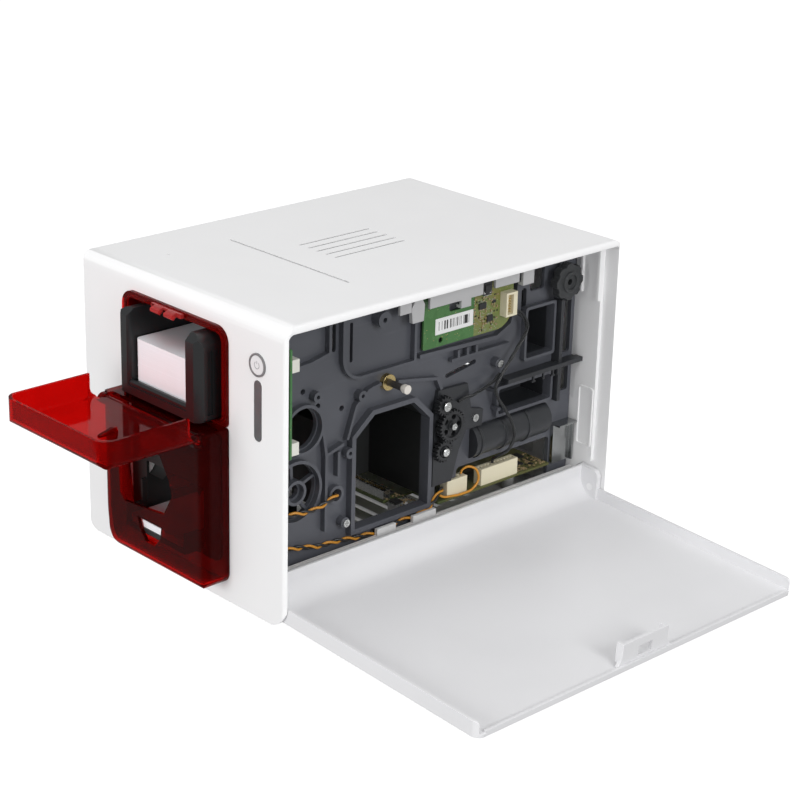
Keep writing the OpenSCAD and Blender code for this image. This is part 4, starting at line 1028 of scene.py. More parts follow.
def add_tube(build: bmesh.types.BMesh, rings: Sequence[Sequence[Vector]]) -> None:
    """Adds a solid that joins rings of points in order.

    Args:
        build: The mesh that it is added to.
        rings: The rings, which all have the same number of points.
    """
    drawn = [[build.verts.new(point) for point in ring] for ring in rings]
    for lower, upper in zip(drawn, drawn[1:]):
        for k, corner in enumerate(lower):
            build.faces.new((lower[k - 1], corner, upper[k], upper[k - 1]))
    build.faces.new(reversed(drawn[0]))
    build.faces.new(drawn[-1])


def turned_rings(
    centre: Vector,
    axis: Axis,
    stations: Sequence[Pair],
    sides: int = 24,
) -> list[list[Vector]]:
    """Works out the rings of a turned solid.

    Args:
        centre: The point that the stations are measured from.
        axis: Its axis.
        stations: The (distance along the axis, radius) pairs of its profile, in metres.
        sides: How many sides it has.

    Returns:
        The rings.
    """
    turn = Vector(axis.value).to_track_quat("Z", "Y").to_matrix()
    rings = []
    for along, radius in stations:
        angles = [2 * math.pi * k / sides for k in range(sides)]
        ring = [Vector((radius * math.cos(a), radius * math.sin(a), along)) for a in angles]
        rings.append([centre + turn @ point for point in ring])
    return rings


def evenly(count: int, pitch: float) -> list[float]:
    """Returns evenly spaced distances to both sides of 0."""
    return [(i - (count - 1) / 2) * pitch for i in range(count)]


# ---- The model and its pieces ----

WELD_GAP = 2e-6
FLAT_ANGLE = math.radians(0.6)
EDGE_ANGLE = math.radians(38)
NORMAL_WEIGHT = 60


@dataclass(frozen=True)
class Box:
    """The room that a construction node takes up, in metres.

    Attributes:
        low: Its lowest corner.
        high: Its highest corner.
    """

    low: Vector
    high: Vector

    @property
    def middle(self) -> Vector:
        """Returns its middle."""
        return (self.low + self.high) / 2

    @property
    def size(self) -> Vector:
        """Returns its width, depth and height."""
        return self.high - self.low


class Model:
    """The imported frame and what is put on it.

    Attributes:
        nodes: The construction nodes by name.
        start_box: The lowest and highest corner of the construction model.
    """

    def __init__(self) -> None:
        """Loads the frame."""
        self.nodes: dict[str, bpy.types.Object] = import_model()["nodes"]
        self.start_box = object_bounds()

    def dress(self, node: str, finish: Finish, edge: Edge | None) -> None:
        """Gives a construction node its finish and breaks its edges.

        Args:
            node: The node's name.
            finish: Its finish.
            edge: How far its edges are broken, or None to leave them.
        """
        piece = self.nodes[node]
        piece.data.materials.clear()
        piece.data.materials.append(finish.material())
        piece.data.shade_smooth()
        weld = piece.modifiers.new("weld", "WELD")
        weld.merge_threshold = WELD_GAP
        flat = piece.modifiers.new("merge_faces", "DECIMATE")
        flat.decimate_type = "DISSOLVE"
        flat.angle_limit = FLAT_ANGLE
        if edge is not None:
            broken = piece.modifiers.new("edges", "BEVEL")
            broken.width = edge.value
            broken.segments = 2
            broken.limit_method = "ANGLE"
            broken.angle_limit = EDGE_ANGLE
            broken.harden_normals = True
            broken.use_clamp_overlap = True
        even = piece.modifiers.new("normals", "WEIGHTED_NORMAL")
        even.keep_sharp = True
        even.weight = NORMAL_WEIGHT
        LOG.info("dressed %s with %s", node, finish.name)

    def add(
        self,
        piece: bpy.types.Object,
        slot: str,
        body: str = "case",
        replaces: Sequence[str] = (),
    ) -> None:
        """Puts a new piece on a body.

        Args:
            piece: The piece, in place.
            slot: The material slot of the record that its finish belongs to; it is not used.
            body: The body that it rides on.
            replaces: The construction nodes that it stands for.
        """
        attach(piece, body)
        if replaces:
            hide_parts(*replaces)
        LOG.info("added %s on %s: %d faces", piece.name, body, len(piece.data.polygons))

    def box(self, node: str) -> Box:
        """Returns the room that a construction node takes up."""
        return Box(*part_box(node))

    def write_sizes(self) -> None:
        """Updates the view layer."""
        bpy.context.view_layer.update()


Looks = tuple[tuple[tuple[str, ...], Finish, Union[Edge, None]], ...]


@dataclass
class Assembly:
    """A sub-assembly of the printer.

    Attributes:
        model: The model that it belongs to.
        looks: The construction nodes that it dresses, each group with its finish and its edges.
    """

    model: Model
    looks: Looks = ()

    def build(self) -> None:
        """Dresses the construction nodes and adds the pieces that they lack."""
        for nodes, finish, edge in self.looks:
            for node in nodes:
                self.model.dress(node, finish, edge)
        self.add_pieces()

    def add_pieces(self) -> None:
        """Adds the pieces that the construction nodes lack."""

    def put(
        self,
        name: str,
        build: bmesh.types.BMesh,
        finish: Finish,
        slot: str,
        body: str = "case",
    ) -> None:
        """Makes a piece of a built mesh and puts it on a body.

        Args:
            name: The piece's name.
            build: The mesh, in the frame.
            finish: The piece's finish.
            slot: Its material slot.
            body: The body that it rides on.
        """
        self.model.add(mesh_piece(name, build, finish), slot, body)


@dataclass
class Enclosure(Assembly):
    """The white case with its base, feet and rear sockets.

    Attributes:
        slit_shade_grid: How many rows of dark bars lie under the roof's slits as painted shade, and how many
            bars each row has.
        slit_shade_middle: Where the middle row lies across the case, as a share of its width.
        slit_shade_pitch: The distance of the rows, as a share of the case's width.
        slit_shade_length: How long a row is, as a share of the case's depth.
        slit_shade_block: The corners of a bar, in millimetres from its place on the roof.
        slit_shade_chamfer: How far a bar's edges are broken, in millimetres.
        contacts: How many contacts the network socket has.
        contact_pitch: Their distance, in millimetres.
        contact_rise: How far they lie above the socket's middle, in millimetres.
        contact: The corners of a contact, in millimetres from its place at the socket's mouth.
    """

    looks: Looks = (
        (("case_shell",), WHITE_SHELL, Edge.SOFT),
        (("base_tray",), BASE_WHITE, Edge.SOFT),
        (("rear_panel",), BASE_WHITE, Edge.CRISP),
        (("feet",), FOOT_RUBBER, Edge.SOFT),
        (("dc_inlet",), BLACK_SATIN, Edge.CRISP),
        (("usb_socket", "network_socket"), STEEL, Edge.CRISP),
    )
    slit_shade_grid: tuple[int, int] = (5, 15)
    slit_shade_middle: float = 0.485
    slit_shade_pitch: float = 0.042
    slit_shade_length: float = 0.212
    slit_shade_block: Corners = ((-0.95, -2.05, -1.0), (0.95, 2.05, -0.45))
    slit_shade_chamfer: float = 0.15
    contacts: int = 8
    contact_pitch: float = 1.02
    contact_rise: float = 1.9
    contact: Corners = ((-0.2, -15.0, -0.25), (0.2, -3.0, 0.15))

    def add_pieces(self) -> None:
        """Adds the network socket's contacts and the dark bars of painted shade under the roof's slits."""
        self.socket_contacts()
        self.slit_shade_bars()

    def socket_contacts(self) -> None:
        """Adds the contacts inside the network socket."""
        socket = self.model.box("network_socket")
        build = bmesh.new()
        for x in evenly(self.contacts, self.contact_pitch * MM):
            mouth = Vector((socket.middle.x + x, socket.high.y, socket.middle.z + self.contact_rise * MM))
            add_block(build, mouth, self.contact)
        self.put("network_contacts", build, BRASS, "bush_brass")

    def slit_shade_bars(self) -> None:
        """Adds dark grey bars just under the roof's vent slits, as painted shade inside the slits."""
        case = self.model.box("case_shell")
        columns, bars = self.slit_shade_grid
        # Rows of dark bars under the slits stand in for the shade inside them (painted shade).
        middle = case.low.x + case.size.x * self.slit_shade_middle
        build = bmesh.new()
        for x in evenly(columns, case.size.x * self.slit_shade_pitch):
            for y in evenly(bars, case.size.y * self.slit_shade_length / (bars - 1)):
                place = Vector((middle + x, case.middle.y + y, case.high.z))
                add_block(build, place, self.slit_shade_block, self.slit_shade_chamfer)
        self.put("slit_shade_bars", build, SLIT_SHADE_GREY, "light_grey")


@dataclass
class ServiceCover(Assembly):
    """The fold-down cover of the service side, with its latch."""

    looks: Looks = (
        (("side_cover",), WHITE_COVER, Edge.SOFT),
        (("cover_latch",), WHITE_COVER, Edge.CRISP),
    )


@dataclass
class Feeder(Assembly):
    """The red feeder frame and door, the card magazine and the output hopper.

    Attributes:
        card_pitch: The distance of two cards in a pile, in metres.
        card_gap: The gap between two cards, in metres.
        slack: How far a card lies inside the room of its pile, in metres.
        slip: How far a card may slide in a pile, as a share of the slack.
        askew: How far a card may turn in a pile, in radians.
    """

    looks: Looks = (
        (("feeder_frame",), FRAME_RED, Edge.SOFT),
        (("feeder_door",), CLEAR_RED, Edge.SOFT),
        (("output_hopper",), DEEP_RED, Edge.SOFT),
        (("frame_latch",), LATCH_RED, Edge.CRISP),
        (("card_magazine",), BLACK_SATIN, Edge.SOFT),
        (("hopper_tray",), BLACK_DULL, Edge.CRISP),
    )
    card_pitch: float = 0.00077
    card_gap: float = 0.00001
    slack: float = 0.00025
    slip: float = 0.16
    askew: float = 0.0002

    def add_pieces(self) -> None:
        """Makes the pile of blank cards in the magazine and the pile of printed ones in the hopper."""
        tree = card_pile_tree()
        self.pile(tree, "card_stack", "blank_cards", 5)
        self.pile(tree, "hopper_cards", "printed_cards", 11)

    def pile(self, tree: Tree, node: str, name: str, seed: int) -> None:
        """Makes a pile of cards in the room of a construction node.

        Args:
            tree: The tree that makes a pile.
            node: The node that the pile stands for.
            name: The pile's name.
            seed: The seed of its small shifts.
        """
        room = self.model.box(node)
        count = int(room.size.z / self.card_pitch)
        pitch = (room.size.z + self.card_gap) / count
        pile = tree.grow(name, CARD_WHITE, {
            "Count": count, "Pitch": pitch, "Thickness": pitch - self.card_gap,
            "Width": room.size.x - 2 * self.slack, "Length": room.size.y - 2 * self.slack,
            "Slip": self.slack * self.slip, "Turn": self.askew, "Seed": seed,
            "Centre": (room.middle.x, room.middle.y, room.low.z),
        })
        self.model.add(pile, "card_white", replaces=(node,))


@dataclass
class Controls(Assembly):
    """The power button with its ring, and the status light.

    Attributes:
        mark_radius: The radius of the printed mark, in millimetres.
        mark_line: The width of its line, in millimetres.
        mark_gap: The angle that its ring leaves open at the top, in degrees.
        mark_turn: The angle of one straight bit of its ring, in degrees.
        mark_bar: Where its bar starts and ends above the middle, as shares of the radius.
        mark_layer: Where its ink starts and ends behind the button's face, in millimetres.
    """

    looks: Looks = (
        (("power_button",), BUTTON_WHITE, Edge.SOFT),
        (("button_ring",), RING_GREY, Edge.SHARP),
        (("status_light",), LIGHT_GREY, Edge.SHARP),
    )
    mark_radius: float = 2.1
    mark_line: float = 0.45
    mark_gap: int = 70
    mark_turn: int = 10
    mark_bar: Pair = (0.35, 1.25)
    mark_layer: Pair = (-0.04, 0.02)

    def add_pieces(self) -> None:
        """Prints the usual on and off mark, an open ring with a bar, on the button."""
        button = self.model.box("power_button")
        middle = Vector((button.middle.x, button.low.y, button.middle.z))
        half = self.mark_line / 2
        front, back = self.mark_layer
        outline = ((-half, front), (-half, back), (half, back), (half, front))
        rings = []
        first = 90 + self.mark_gap // 2
        last = first + 360 - self.mark_gap
        for angle in map(math.radians, range(first, last + 1, self.mark_turn)):
            way = Vector((math.cos(angle), 0.0, math.sin(angle)))
            rings.append([
                middle + (way * (self.mark_radius + away) + Vector(Axis.Y.value) * depth) * MM
                for away, depth in outline
            ])
        build = bmesh.new()
        add_tube(build, rings)
        low, high = (share * self.mark_radius for share in self.mark_bar)
        add_block(build, middle, ((-half, front, low), (half, back, high)))
        self.put("power_mark", build, MARK_GREY, "ring_grey", "power_button")


@dataclass
class Mechanism(Assembly):
    """The chassis with its duct, shelves, gears, spindle and knob.

    Attributes:
        caps: The gears with the radius of the screw cap on the end of each one's shaft, in metres.
        cap_profile: The cap's profile: pairs of a distance out in metres and a share of the radius.
        hooks: The hooks under the rear shelf: each one's place along Y and its foot's width, in millimetres.
        shelf_rise: How far the rear shelf lies above the foot of its node, in millimetres.
        hook_depth: How far a hook reaches back from the shelf's edge, in millimetres.
        hook_stem: Half the width of a hook's stem, and where it starts and ends above the shelf.
        hook_foot: Where a hook's foot starts and ends above the shelf, in millimetres.
        hook_chamfer: How far a hook's edges are broken, in millimetres.
    """

    looks: Looks = (
        (("mechanism_chassis",), CHASSIS_GREY, Edge.CRISP),
        (("pocket_boxes", "gear_housing", "motor_cover", "rear_shelves"), DRIVE_BLACK, Edge.CRISP),
        (("tunnel_duct",), BLACK_DULL, Edge.CRISP),
        (("drive_gear", "pinion_gear", "idler_gear"), GEAR_BLACK, Edge.SHARP),
        (("adjust_knob",), KNOB_BLACK, Edge.SOFT),
        (("ribbon_spindle",), SPINDLE, Edge.CRISP),
        (("spindle_bush",), BRASS, Edge.CRISP),
        (("top_rail",), RAIL_GREY, Edge.CRISP),
        (("metal_bracket",), BRACKET_STEEL, Edge.SHARP),
        (("chassis_feet", "screws"), STEEL, Edge.SHARP),
    )
    caps: tuple[tuple[str, float], ...] = (
        ("drive_gear", 0.0022), ("pinion_gear", 0.0031), ("idler_gear", 0.0027),
    )
    cap_profile: tuple[Pair, ...] = (
        (-0.00015, 0.8), (0.0, 1.0), (0.00055, 1.0), (0.00085, 0.86), (0.0009, 0.5), (0.00045, 0.4),
    )
    hooks: tuple[Pair, ...] = ((90.0, 3.2), (99.5, 2.2), (108.5, 3.6), (113.0, 2.2))
    shelf_rise: float = 25.0
    hook_depth: float = 1.6
    hook_stem: Triple = (0.6, -3.8, 0.2)
    hook_foot: Pair = (-4.2, -3.2)
    hook_chamfer: float = 0.2

    def add_pieces(self) -> None:
        """Adds the caps of the gears' shafts and the hooks of the rear shelf."""
        for node, radius in self.caps:
            self.shaft_cap(node, radius)
        self.shelf_hooks()

    def shaft_cap(self, node: str, radius: float) -> None:
        """Adds the steel screw cap on the end of a gear's shaft.

        Args:
            node: The gear.
            radius: The cap's radius, in metres.
        """
        gear = self.model.box(node)
        build = bmesh.new()
        end = Vector((gear.high.x, gear.middle.y, gear.middle.z))
        stations = [(out, share * radius) for out, share in self.cap_profile]
        add_tube(build, turned_rings(end, Axis.X, stations))
        self.put(node + "_cap", build, STEEL, "steel", node)

    def shelf_hooks(self) -> None:
        """Adds the small hooks that hang under the front edge of the rear shelf."""
        shelves = self.model.box("rear_shelves")
        half_stem, stem_low, stem_high = self.hook_stem
        build = bmesh.new()
        for y, foot in self.hooks:
            place = Vector((shelves.high.x, y * MM, shelves.low.z + self.shelf_rise * MM))
            for half, low, high in ((half_stem, stem_low, stem_high), (foot / 2, *self.hook_foot)):
                corners = ((-self.hook_depth, -half, low), (0.0, half, high))
                add_block(build, place, corners, self.hook_chamfer)
        self.put("shelf_hooks", build, DRIVE_BLACK, "chassis_grey")


@dataclass(frozen=True)
class Slab:
    """A block that stands on a board's face, in millimetres.

    Attributes:
        middle: The middle of its outline, along and across the face.
        size: Its outline, along and across the face.
        low: Where it starts above the face.
        high: Where it ends above the face.
        chamfer: How far its edges are broken.
    """

    middle: Pair
    size: Pair
    low: float
    high: float
    chamfer: float = 0.0


@dataclass(frozen=True)
class BoardFace:
    """The side of a circuit board that carries parts.

    Its directions along and across the face are the other two axes of the frame, in their order.

    Attributes:
        corner: The point on the face that distances are measured from, in metres.
        out: The direction away from the board.
    """

    corner: Triple
    out: Axis

    def spot(self, along: float, across: float, out: float) -> Vector:
        """Returns a point in millimetres from the face's corner, in the axes of the frame."""
        first, second = (Vector(axis.value) for axis in Axis if axis is not self.out)
        return first * along + second * across + Vector(self.out.value) * out

    def add(self, build: bmesh.types.BMesh, slab: Slab) -> None:
        """Adds a block that stands on the face.

        Args:
            build: The mesh that it is added to.
            slab: The block.
        """
        (along, across), (length, width) = slab.middle, slab.size
        low = self.spot(along - length / 2, across - width / 2, slab.low)
        high = self.spot(along + length / 2, across + width / 2, slab.high)
        add_block(build, Vector(self.corner), (tuple(low), tuple(high)), slab.chamfer)


@dataclass(frozen=True)
class Chip:
    """A black package with two rows of legs, in millimetres.

    Attributes:
        middle: The middle of its outline, along and across the face.
        length: Its length along the face.
        width: Its width across the face.
        pins: How many legs a row has.
        height: Its height.
        rise: How far it stands off the board, and how far its edges are broken.
        leg_share: The width of a leg, as a share of the legs' pitch.
        foot: How far a leg's foot lies from the package, its length and its height.
        knee: How far a leg's upper bend lies from the package, its length and where it starts.
        knee_share: Where the upper bend ends, as a share of the height.
        sink: How far a foot reaches into the board.
    """

    middle: Pair
    length: float
    width: float
    pins: int
    height: float = 1.2
    rise: float = 0.12
    leg_share: float = 0.38
    foot: Triple = (0.55, 1.1, 0.14)
    knee: Triple = (0.14, 0.3, 0.1)
    knee_share: float = 0.55
    sink: float = 0.02

    def draw(self, face: BoardFace, bodies: bmesh.types.BMesh, legs: bmesh.types.BMesh) -> None:
        """Adds the package to one mesh and its legs to another.

        Args:
            face: The face that it stands on.
            bodies: The mesh of the packages.
            legs: The mesh of the legs.
        """
        face.add(bodies, Slab(self.middle, (self.length, self.width), self.rise, self.height, self.rise))
        foot_reach, foot_length, foot_high = self.foot
        knee_reach, knee_length, knee_low = self.knee
        pitch = self.length / self.pins
        for along in evenly(self.pins, pitch):
            for reach, length, low, high in (
                (foot_reach, foot_length, -self.sink, foot_high),
                (knee_reach, knee_length, knee_low, self.height * self.knee_share),
            ):
                for side in (-1, 1):
                    place = (self.middle[0] + along, self.middle[1] + side * (self.width / 2 + reach))
                    face.add(legs, Slab(place, (pitch * self.leg_share, length), low, high))


@dataclass(frozen=True)
class SmallPart:
    """A kind of small surface-mounted part.

    Attributes:
        plural: What many of them are called.
        finish: Its finish.
        slot: Its material slot.
        size: Its length, width and height, in millimetres.
    """

    plural: str
    finish: Finish
    slot: str
    size: Triple


CAPACITOR = SmallPart("capacitors", CERAMIC, "connector_ivory", (1.5, 0.8, 0.7))
RESISTOR = SmallPart("resistors", CHIP_BLACK, "black_satin", (1.3, 0.7, 0.4))
PAD = SmallPart("pads", TINNED, "steel", (0.5, 0.5, 0.1))
FACE_TURNS = {Axis.X: (0.0, math.pi / 2, 0.0), Axis.Y: (-math.pi / 2, 0.0, 0.0), Axis.Z: ORIGIN}


@dataclass(frozen=True)
class PartField:
    """A field of small surface-mounted parts.

    Attributes:
        part: The kind of its parts.
        middle: The middle of the field, in millimetres along and across the face.
        span: Its size, in millimetres along and across.
        count: The columns and rows that parts may stand on.
        share: The share of the places that are filled.
        seed: The seed of the choice.
        mark: What its name ends in.
    """

    part: SmallPart
    middle: Pair
    span: Pair
    count: tuple[int, int]
    share: float
    seed: int
    mark: str = ""

    def values(self, face: BoardFace) -> dict[str, Any]:
        """Works out the values of the part grid's inputs.

        Args:
            face: The face that the field lies on.

        Returns:
            The values by the inputs' names.
        """
        order = -1 if face.out is Axis.X else 1
        columns, rows = self.count[::order]
        width, length = self.span[::order]
        centre = Vector(face.corner) + face.spot(*self.middle, self.part.size[2] / 2) * MM
        return {
            "Columns": columns, "Rows": rows, "Span": (width * MM, length * MM, 0.0),
            "Size": tuple(v * MM for v in self.part.size), "Share": self.share, "Seed": self.seed,
            "Centre": tuple(centre), "Turn": FACE_TURNS[face.out],
        }


@dataclass(frozen=True)
class PinBlock:
    """Rows of pins inside a connector, in millimetres from its corner.

    Attributes:
        start: The first pin of the first row.
        count: How many pins a row has.
        step: The way from pin to pin.
        rows: The way from one row to the other.
        depth: Where the pins start and end above the face.
        width: How thick a pin is.
        chamfer: How far its edges are broken.
    """

    start: Pair
    count: int
    step: Pair
    rows: Pair
    depth: Pair
    width: float = 0.5
    chamfer: float = 0.08

    def draw(self, build: bmesh.types.BMesh, face: BoardFace) -> None:
        """Adds the pins to a mesh.

        Args:
            build: The mesh.
            face: The face that they stand on.
        """
        for i in range(self.count):
            for row in range(2):
                place = tuple(a + i * b + row * c for a, b, c in zip(self.start, self.step, self.rows))
                face.add(build, Slab(place, (self.width, self.width), *self.depth, self.chamfer))


@dataclass
class Boards(Assembly):
    """The circuit boards with their parts, connectors and label.

    Attributes:
        sensor_chips: The packages on the olive half of the sensor board.
        sensor_fields: The small parts there.
        main_chips: The packages where the main board shows.
        main_fields: The small parts there.
        front_chips: The packages on the front board.
        front_fields: The small parts there.
        socket_pins: The pins inside the open connector of the sensor board.
        socket_depth: How far its floor lies under its rim, in metres.
        header_pins: The pins of the main board's header.
        switch_body: The blocks of the small switch that stands between the rail's plates.
        switch_metal: The blocks of its contacts.
    """

    looks: Looks = (
        (("sensor_board",), BOARD_GREEN, Edge.SHARP),
        (("front_board",), FRONT_GREEN, Edge.SHARP),
        (("main_board",), BOARD_OLIVE, Edge.SHARP),
        (("board_label",), BOARD_LABEL, None),
        (("front_connectors",), NYLON_WHITE, Edge.CRISP),
        (("board_header",), STEEL, Edge.SHARP),
        (("sensor_connector", "long_connector", "small_connector"), IVORY, Edge.CRISP),
    )
    sensor_chips: tuple[Chip, ...] = (
        Chip((57.5, 9.5), 5.0, 4.0, 4),
        Chip((50.5, 19.0), 6.2, 4.0, 8),
        Chip((61.0, 20.0), 3.0, 1.7, 3, 0.9),
    )
    sensor_fields: tuple[PartField, ...] = (
        PartField(CAPACITOR, (54.0, 14.5), (20.0, 24.0), (9, 13), 0.3, 4),
        PartField(RESISTOR, (55.0, 13.5), (19.0, 22.0), (8, 11), 0.26, 9),
        PartField(PAD, (54.0, 13.0), (20.0, 23.0), (15, 17), 0.3, 21),
    )
    main_chips: tuple[Chip, ...] = (
        Chip((51.0, 5.5), 7.0, 6.0, 10),
        Chip((36.0, 12.5), 9.0, 4.0, 8),
        Chip((20.0, 13.0), 5.0, 4.0, 4),
        Chip((57.0, 112.0), 6.0, 4.0, 7),
        Chip((62.5, 118.5), 3.0, 1.7, 3, 0.9),
        Chip((48.0, 121.0), 7.0, 5.0, 8),
    )
    main_fields: tuple[PartField, ...] = (
        PartField(CAPACITOR, (36.0, 10.0), (44.0, 12.0), (24, 7), 0.4, 31, "_0"),
        PartField(RESISTOR, (36.0, 10.0), (44.0, 12.0), (22, 6), 0.35, 51, "_0"),
        PartField(CAPACITOR, (56.0, 115.0), (20.0, 26.0), (11, 14), 0.4, 32, "_1"),
        PartField(RESISTOR, (56.0, 115.0), (20.0, 26.0), (9, 13), 0.35, 52, "_1"),
    )
    front_chips: tuple[Chip, ...] = (
        Chip((18.0, 34.0), 6.0, 4.0, 8),
        Chip((28.0, 48.0), 5.0, 4.0, 4),
    )
    front_fields: tuple[PartField, ...] = (
        PartField(CAPACITOR, (22.0, 38.0), (26.0, 50.0), (10, 18), 0.25, 71),
    )
    socket_pins: PinBlock = PinBlock((3.0, 2.9), 7, (0.0, 1.7), (2.0, 0.0), (-0.1, 3.2))
    socket_depth: float = 0.0045
    header_pins: PinBlock = PinBlock((3.5, 2.3), 14, (2.54, 0.0), (0.0, 1.4), (1.9, 5.6))
    switch_body: tuple[Slab, ...] = (
        Slab((49.5, 32.5), (8.0, 9.0), -0.05, 5.6, 0.3),
        Slab((49.5, 32.0), (5.0, 5.0), 5.4, 6.4, 0.4),
    )
    switch_metal: tuple[Slab, ...] = (
        Slab((47.0, 29.6), (1.4, 1.8), 5.5, 5.8, 0.1),
        Slab((52.0, 29.6), (1.4, 1.8), 5.5, 5.8, 0.1),
        Slab((49.5, 27.7), (6.6, 0.35), 0.8, 5.9, 0.08),
    )

    def add_pieces(self) -> None:
        """Puts the small parts on the boards and the pins into the connectors."""
        sensor, main, front = map(self.model.box, ("sensor_board", "main_board", "front_board"))
        sensor_face = BoardFace((sensor.high.x, sensor.low.y, sensor.low.z), Axis.X)
        main_face = BoardFace((0.0, main.low.y, main.high.z), Axis.Z)
        front_face = BoardFace((front.low.x, front.high.y, front.low.z), Axis.Y)
        tree = part_grid_tree()
        self.populate(tree, "sensor", sensor_face, self.sensor_chips, self.sensor_fields)
        self.populate(tree, "main", main_face, self.main_chips, self.main_fields)
        self.populate(tree, "front", front_face, self.front_chips, self.front_fields)
        self.connector_pins()
        self.home_switch(sensor_face)

    def populate(
        self,
        tree: Tree,
        board: str,
        face: BoardFace,
        chips: Sequence[Chip],
        fields: Sequence[PartField],
    ) -> None:
        """Puts packages and small parts on a board.

        Args:
            tree: The tree that makes a field of parts.
            board: What the pieces' names start with.
            face: The face that they stand on.
            chips: The packages.
            fields: The fields of small parts.
        """
        bodies, legs = bmesh.new(), bmesh.new()
        for chip in chips:
            chip.draw(face, bodies, legs)
        self.put(board + "_chips", bodies, CHIP_BLACK, "black_satin")
        self.put(board + "_chip_legs", legs, TINNED, "steel")
        for field in fields:
            name = f"{board}_{field.part.plural}{field.mark}"
            self.model.add(tree.grow(name, field.part.finish, field.values(face)), field.part.slot)

    def connector_pins(self) -> None:
        """Adds the pins inside the sensor board's open connector and the main board's header."""
        socket = self.model.box("sensor_connector")
        header = self.model.box("board_header")
        floor = (socket.high.x - self.socket_depth, socket.low.y, socket.low.z)
        build = bmesh.new()
        self.socket_pins.draw(build, BoardFace(floor, Axis.X))
        self.header_pins.draw(build, BoardFace(tuple(header.low), Axis.Z))
        self.put("connector_pins", build, BRASS, "bush_brass")

    def home_switch(self, face: BoardFace) -> None:
        """Adds the small switch that stands on the sensor board between the rail's plates.

        Args:
            face: The sensor board's face.
        """
        for name, slabs, finish, slot in (
            ("switch_body", self.switch_body, CHIP_BLACK, "black_satin"),
            ("switch_contacts", self.switch_metal, TINNED, "steel"),
        ):
            build = bmesh.new()
            for slab in slabs:
                face.add(build, slab)
            self.put(name, build, finish, slot)


# ---- Wires ----

Route = tuple[Triple, ...]

LOW_ROUTE: Route = (
    (1.85, -136, 6), (1.85, -118, 6), (1.85, -103, 4), (1.85, -88, 0.6), (1.85, -73, -0.4),
    (1.85, -58, -2.5), (1.85, -43, -3.5), (1.85, -28, -3), (1.85, -14, -2), (1.85, -3, -1.8),
    (1.85, 5, -0.5), (1.3, 10.5, 3.3), (0, 15.5, 7), (-1.5, 20.8, 7.6),
)
HIGH_ROUTE: Route = (
    (6, -136, 27), (6.2, -125, 29.5), (7, -113, 30.5), (7, -100, 29), (6.8, -90, 30), (6.6, -82, 32),
    (5.3, -77.2, 32.2), (2, -75.5, 32), (-3, -75.5, 32), (-10, -75.5, 32),
)
LOOP_ROUTE: Route = (
    (-1.5, 37, 13.9), (-1.3, 38, 16.5), (1, 41.5, 18.5), (3.6, 46, 16), (4.6, 47.5, 9), (4.4, 42, 3.5),
    (4, 33, 2.5), (3.3, 25, 3), (2, 19, 3.5), (0.8, 16, 5.3),
)
LONG_ROUTE: Route = (
    (6, 72.8, 119), (7.4, 77, 117), (8.6, 81.6, 111), (8.8, 81.5, 104), (8.4, 74, 94), (8.4, 66, 85),
    (8.4, 59.5, 77.5), (8.4, 56, 72), (8.6, 58.5, 64), (9, 64.5, 55.5), (10.2, 70, 46), (10.8, 73, 35),
    (9, 70, 25.5), (2.5, 66.5, 19.5), (-1, 66, 16.5), (-1.4, 66, 13.9),
)
SHORT_ROUTE: Route = (
    (5.6, 62, 79.4), (6.6, 55, 75.4), (6.6, 46, 72.6), (6, 38, 70.4), (4.4, 31, 69), (4.4, 26.4, 68.4),
)


def curve_point(knots: Sequence[Vector], i: int, t: float) -> Vector:
    """Works out a point of the smooth curve through some knots.

    Args:
        knots: The knots.
        i: The knot before the point.
        t: How far the point lies towards the next knot, from 0 to 1.

    Returns:
        The point.
    """
    before, first, second = knots[max(i - 1, 0)], knots[i], knots[i + 1]
    after = knots[min(i + 2, len(knots) - 1)]
    slope = second - before
    bend = 2 * before - 5 * first + 4 * second - after
    twist = 3 * first - before - 3 * second + after
    return 0.5 * (2 * first + slope * t + bend * t * t + twist * t * t * t)


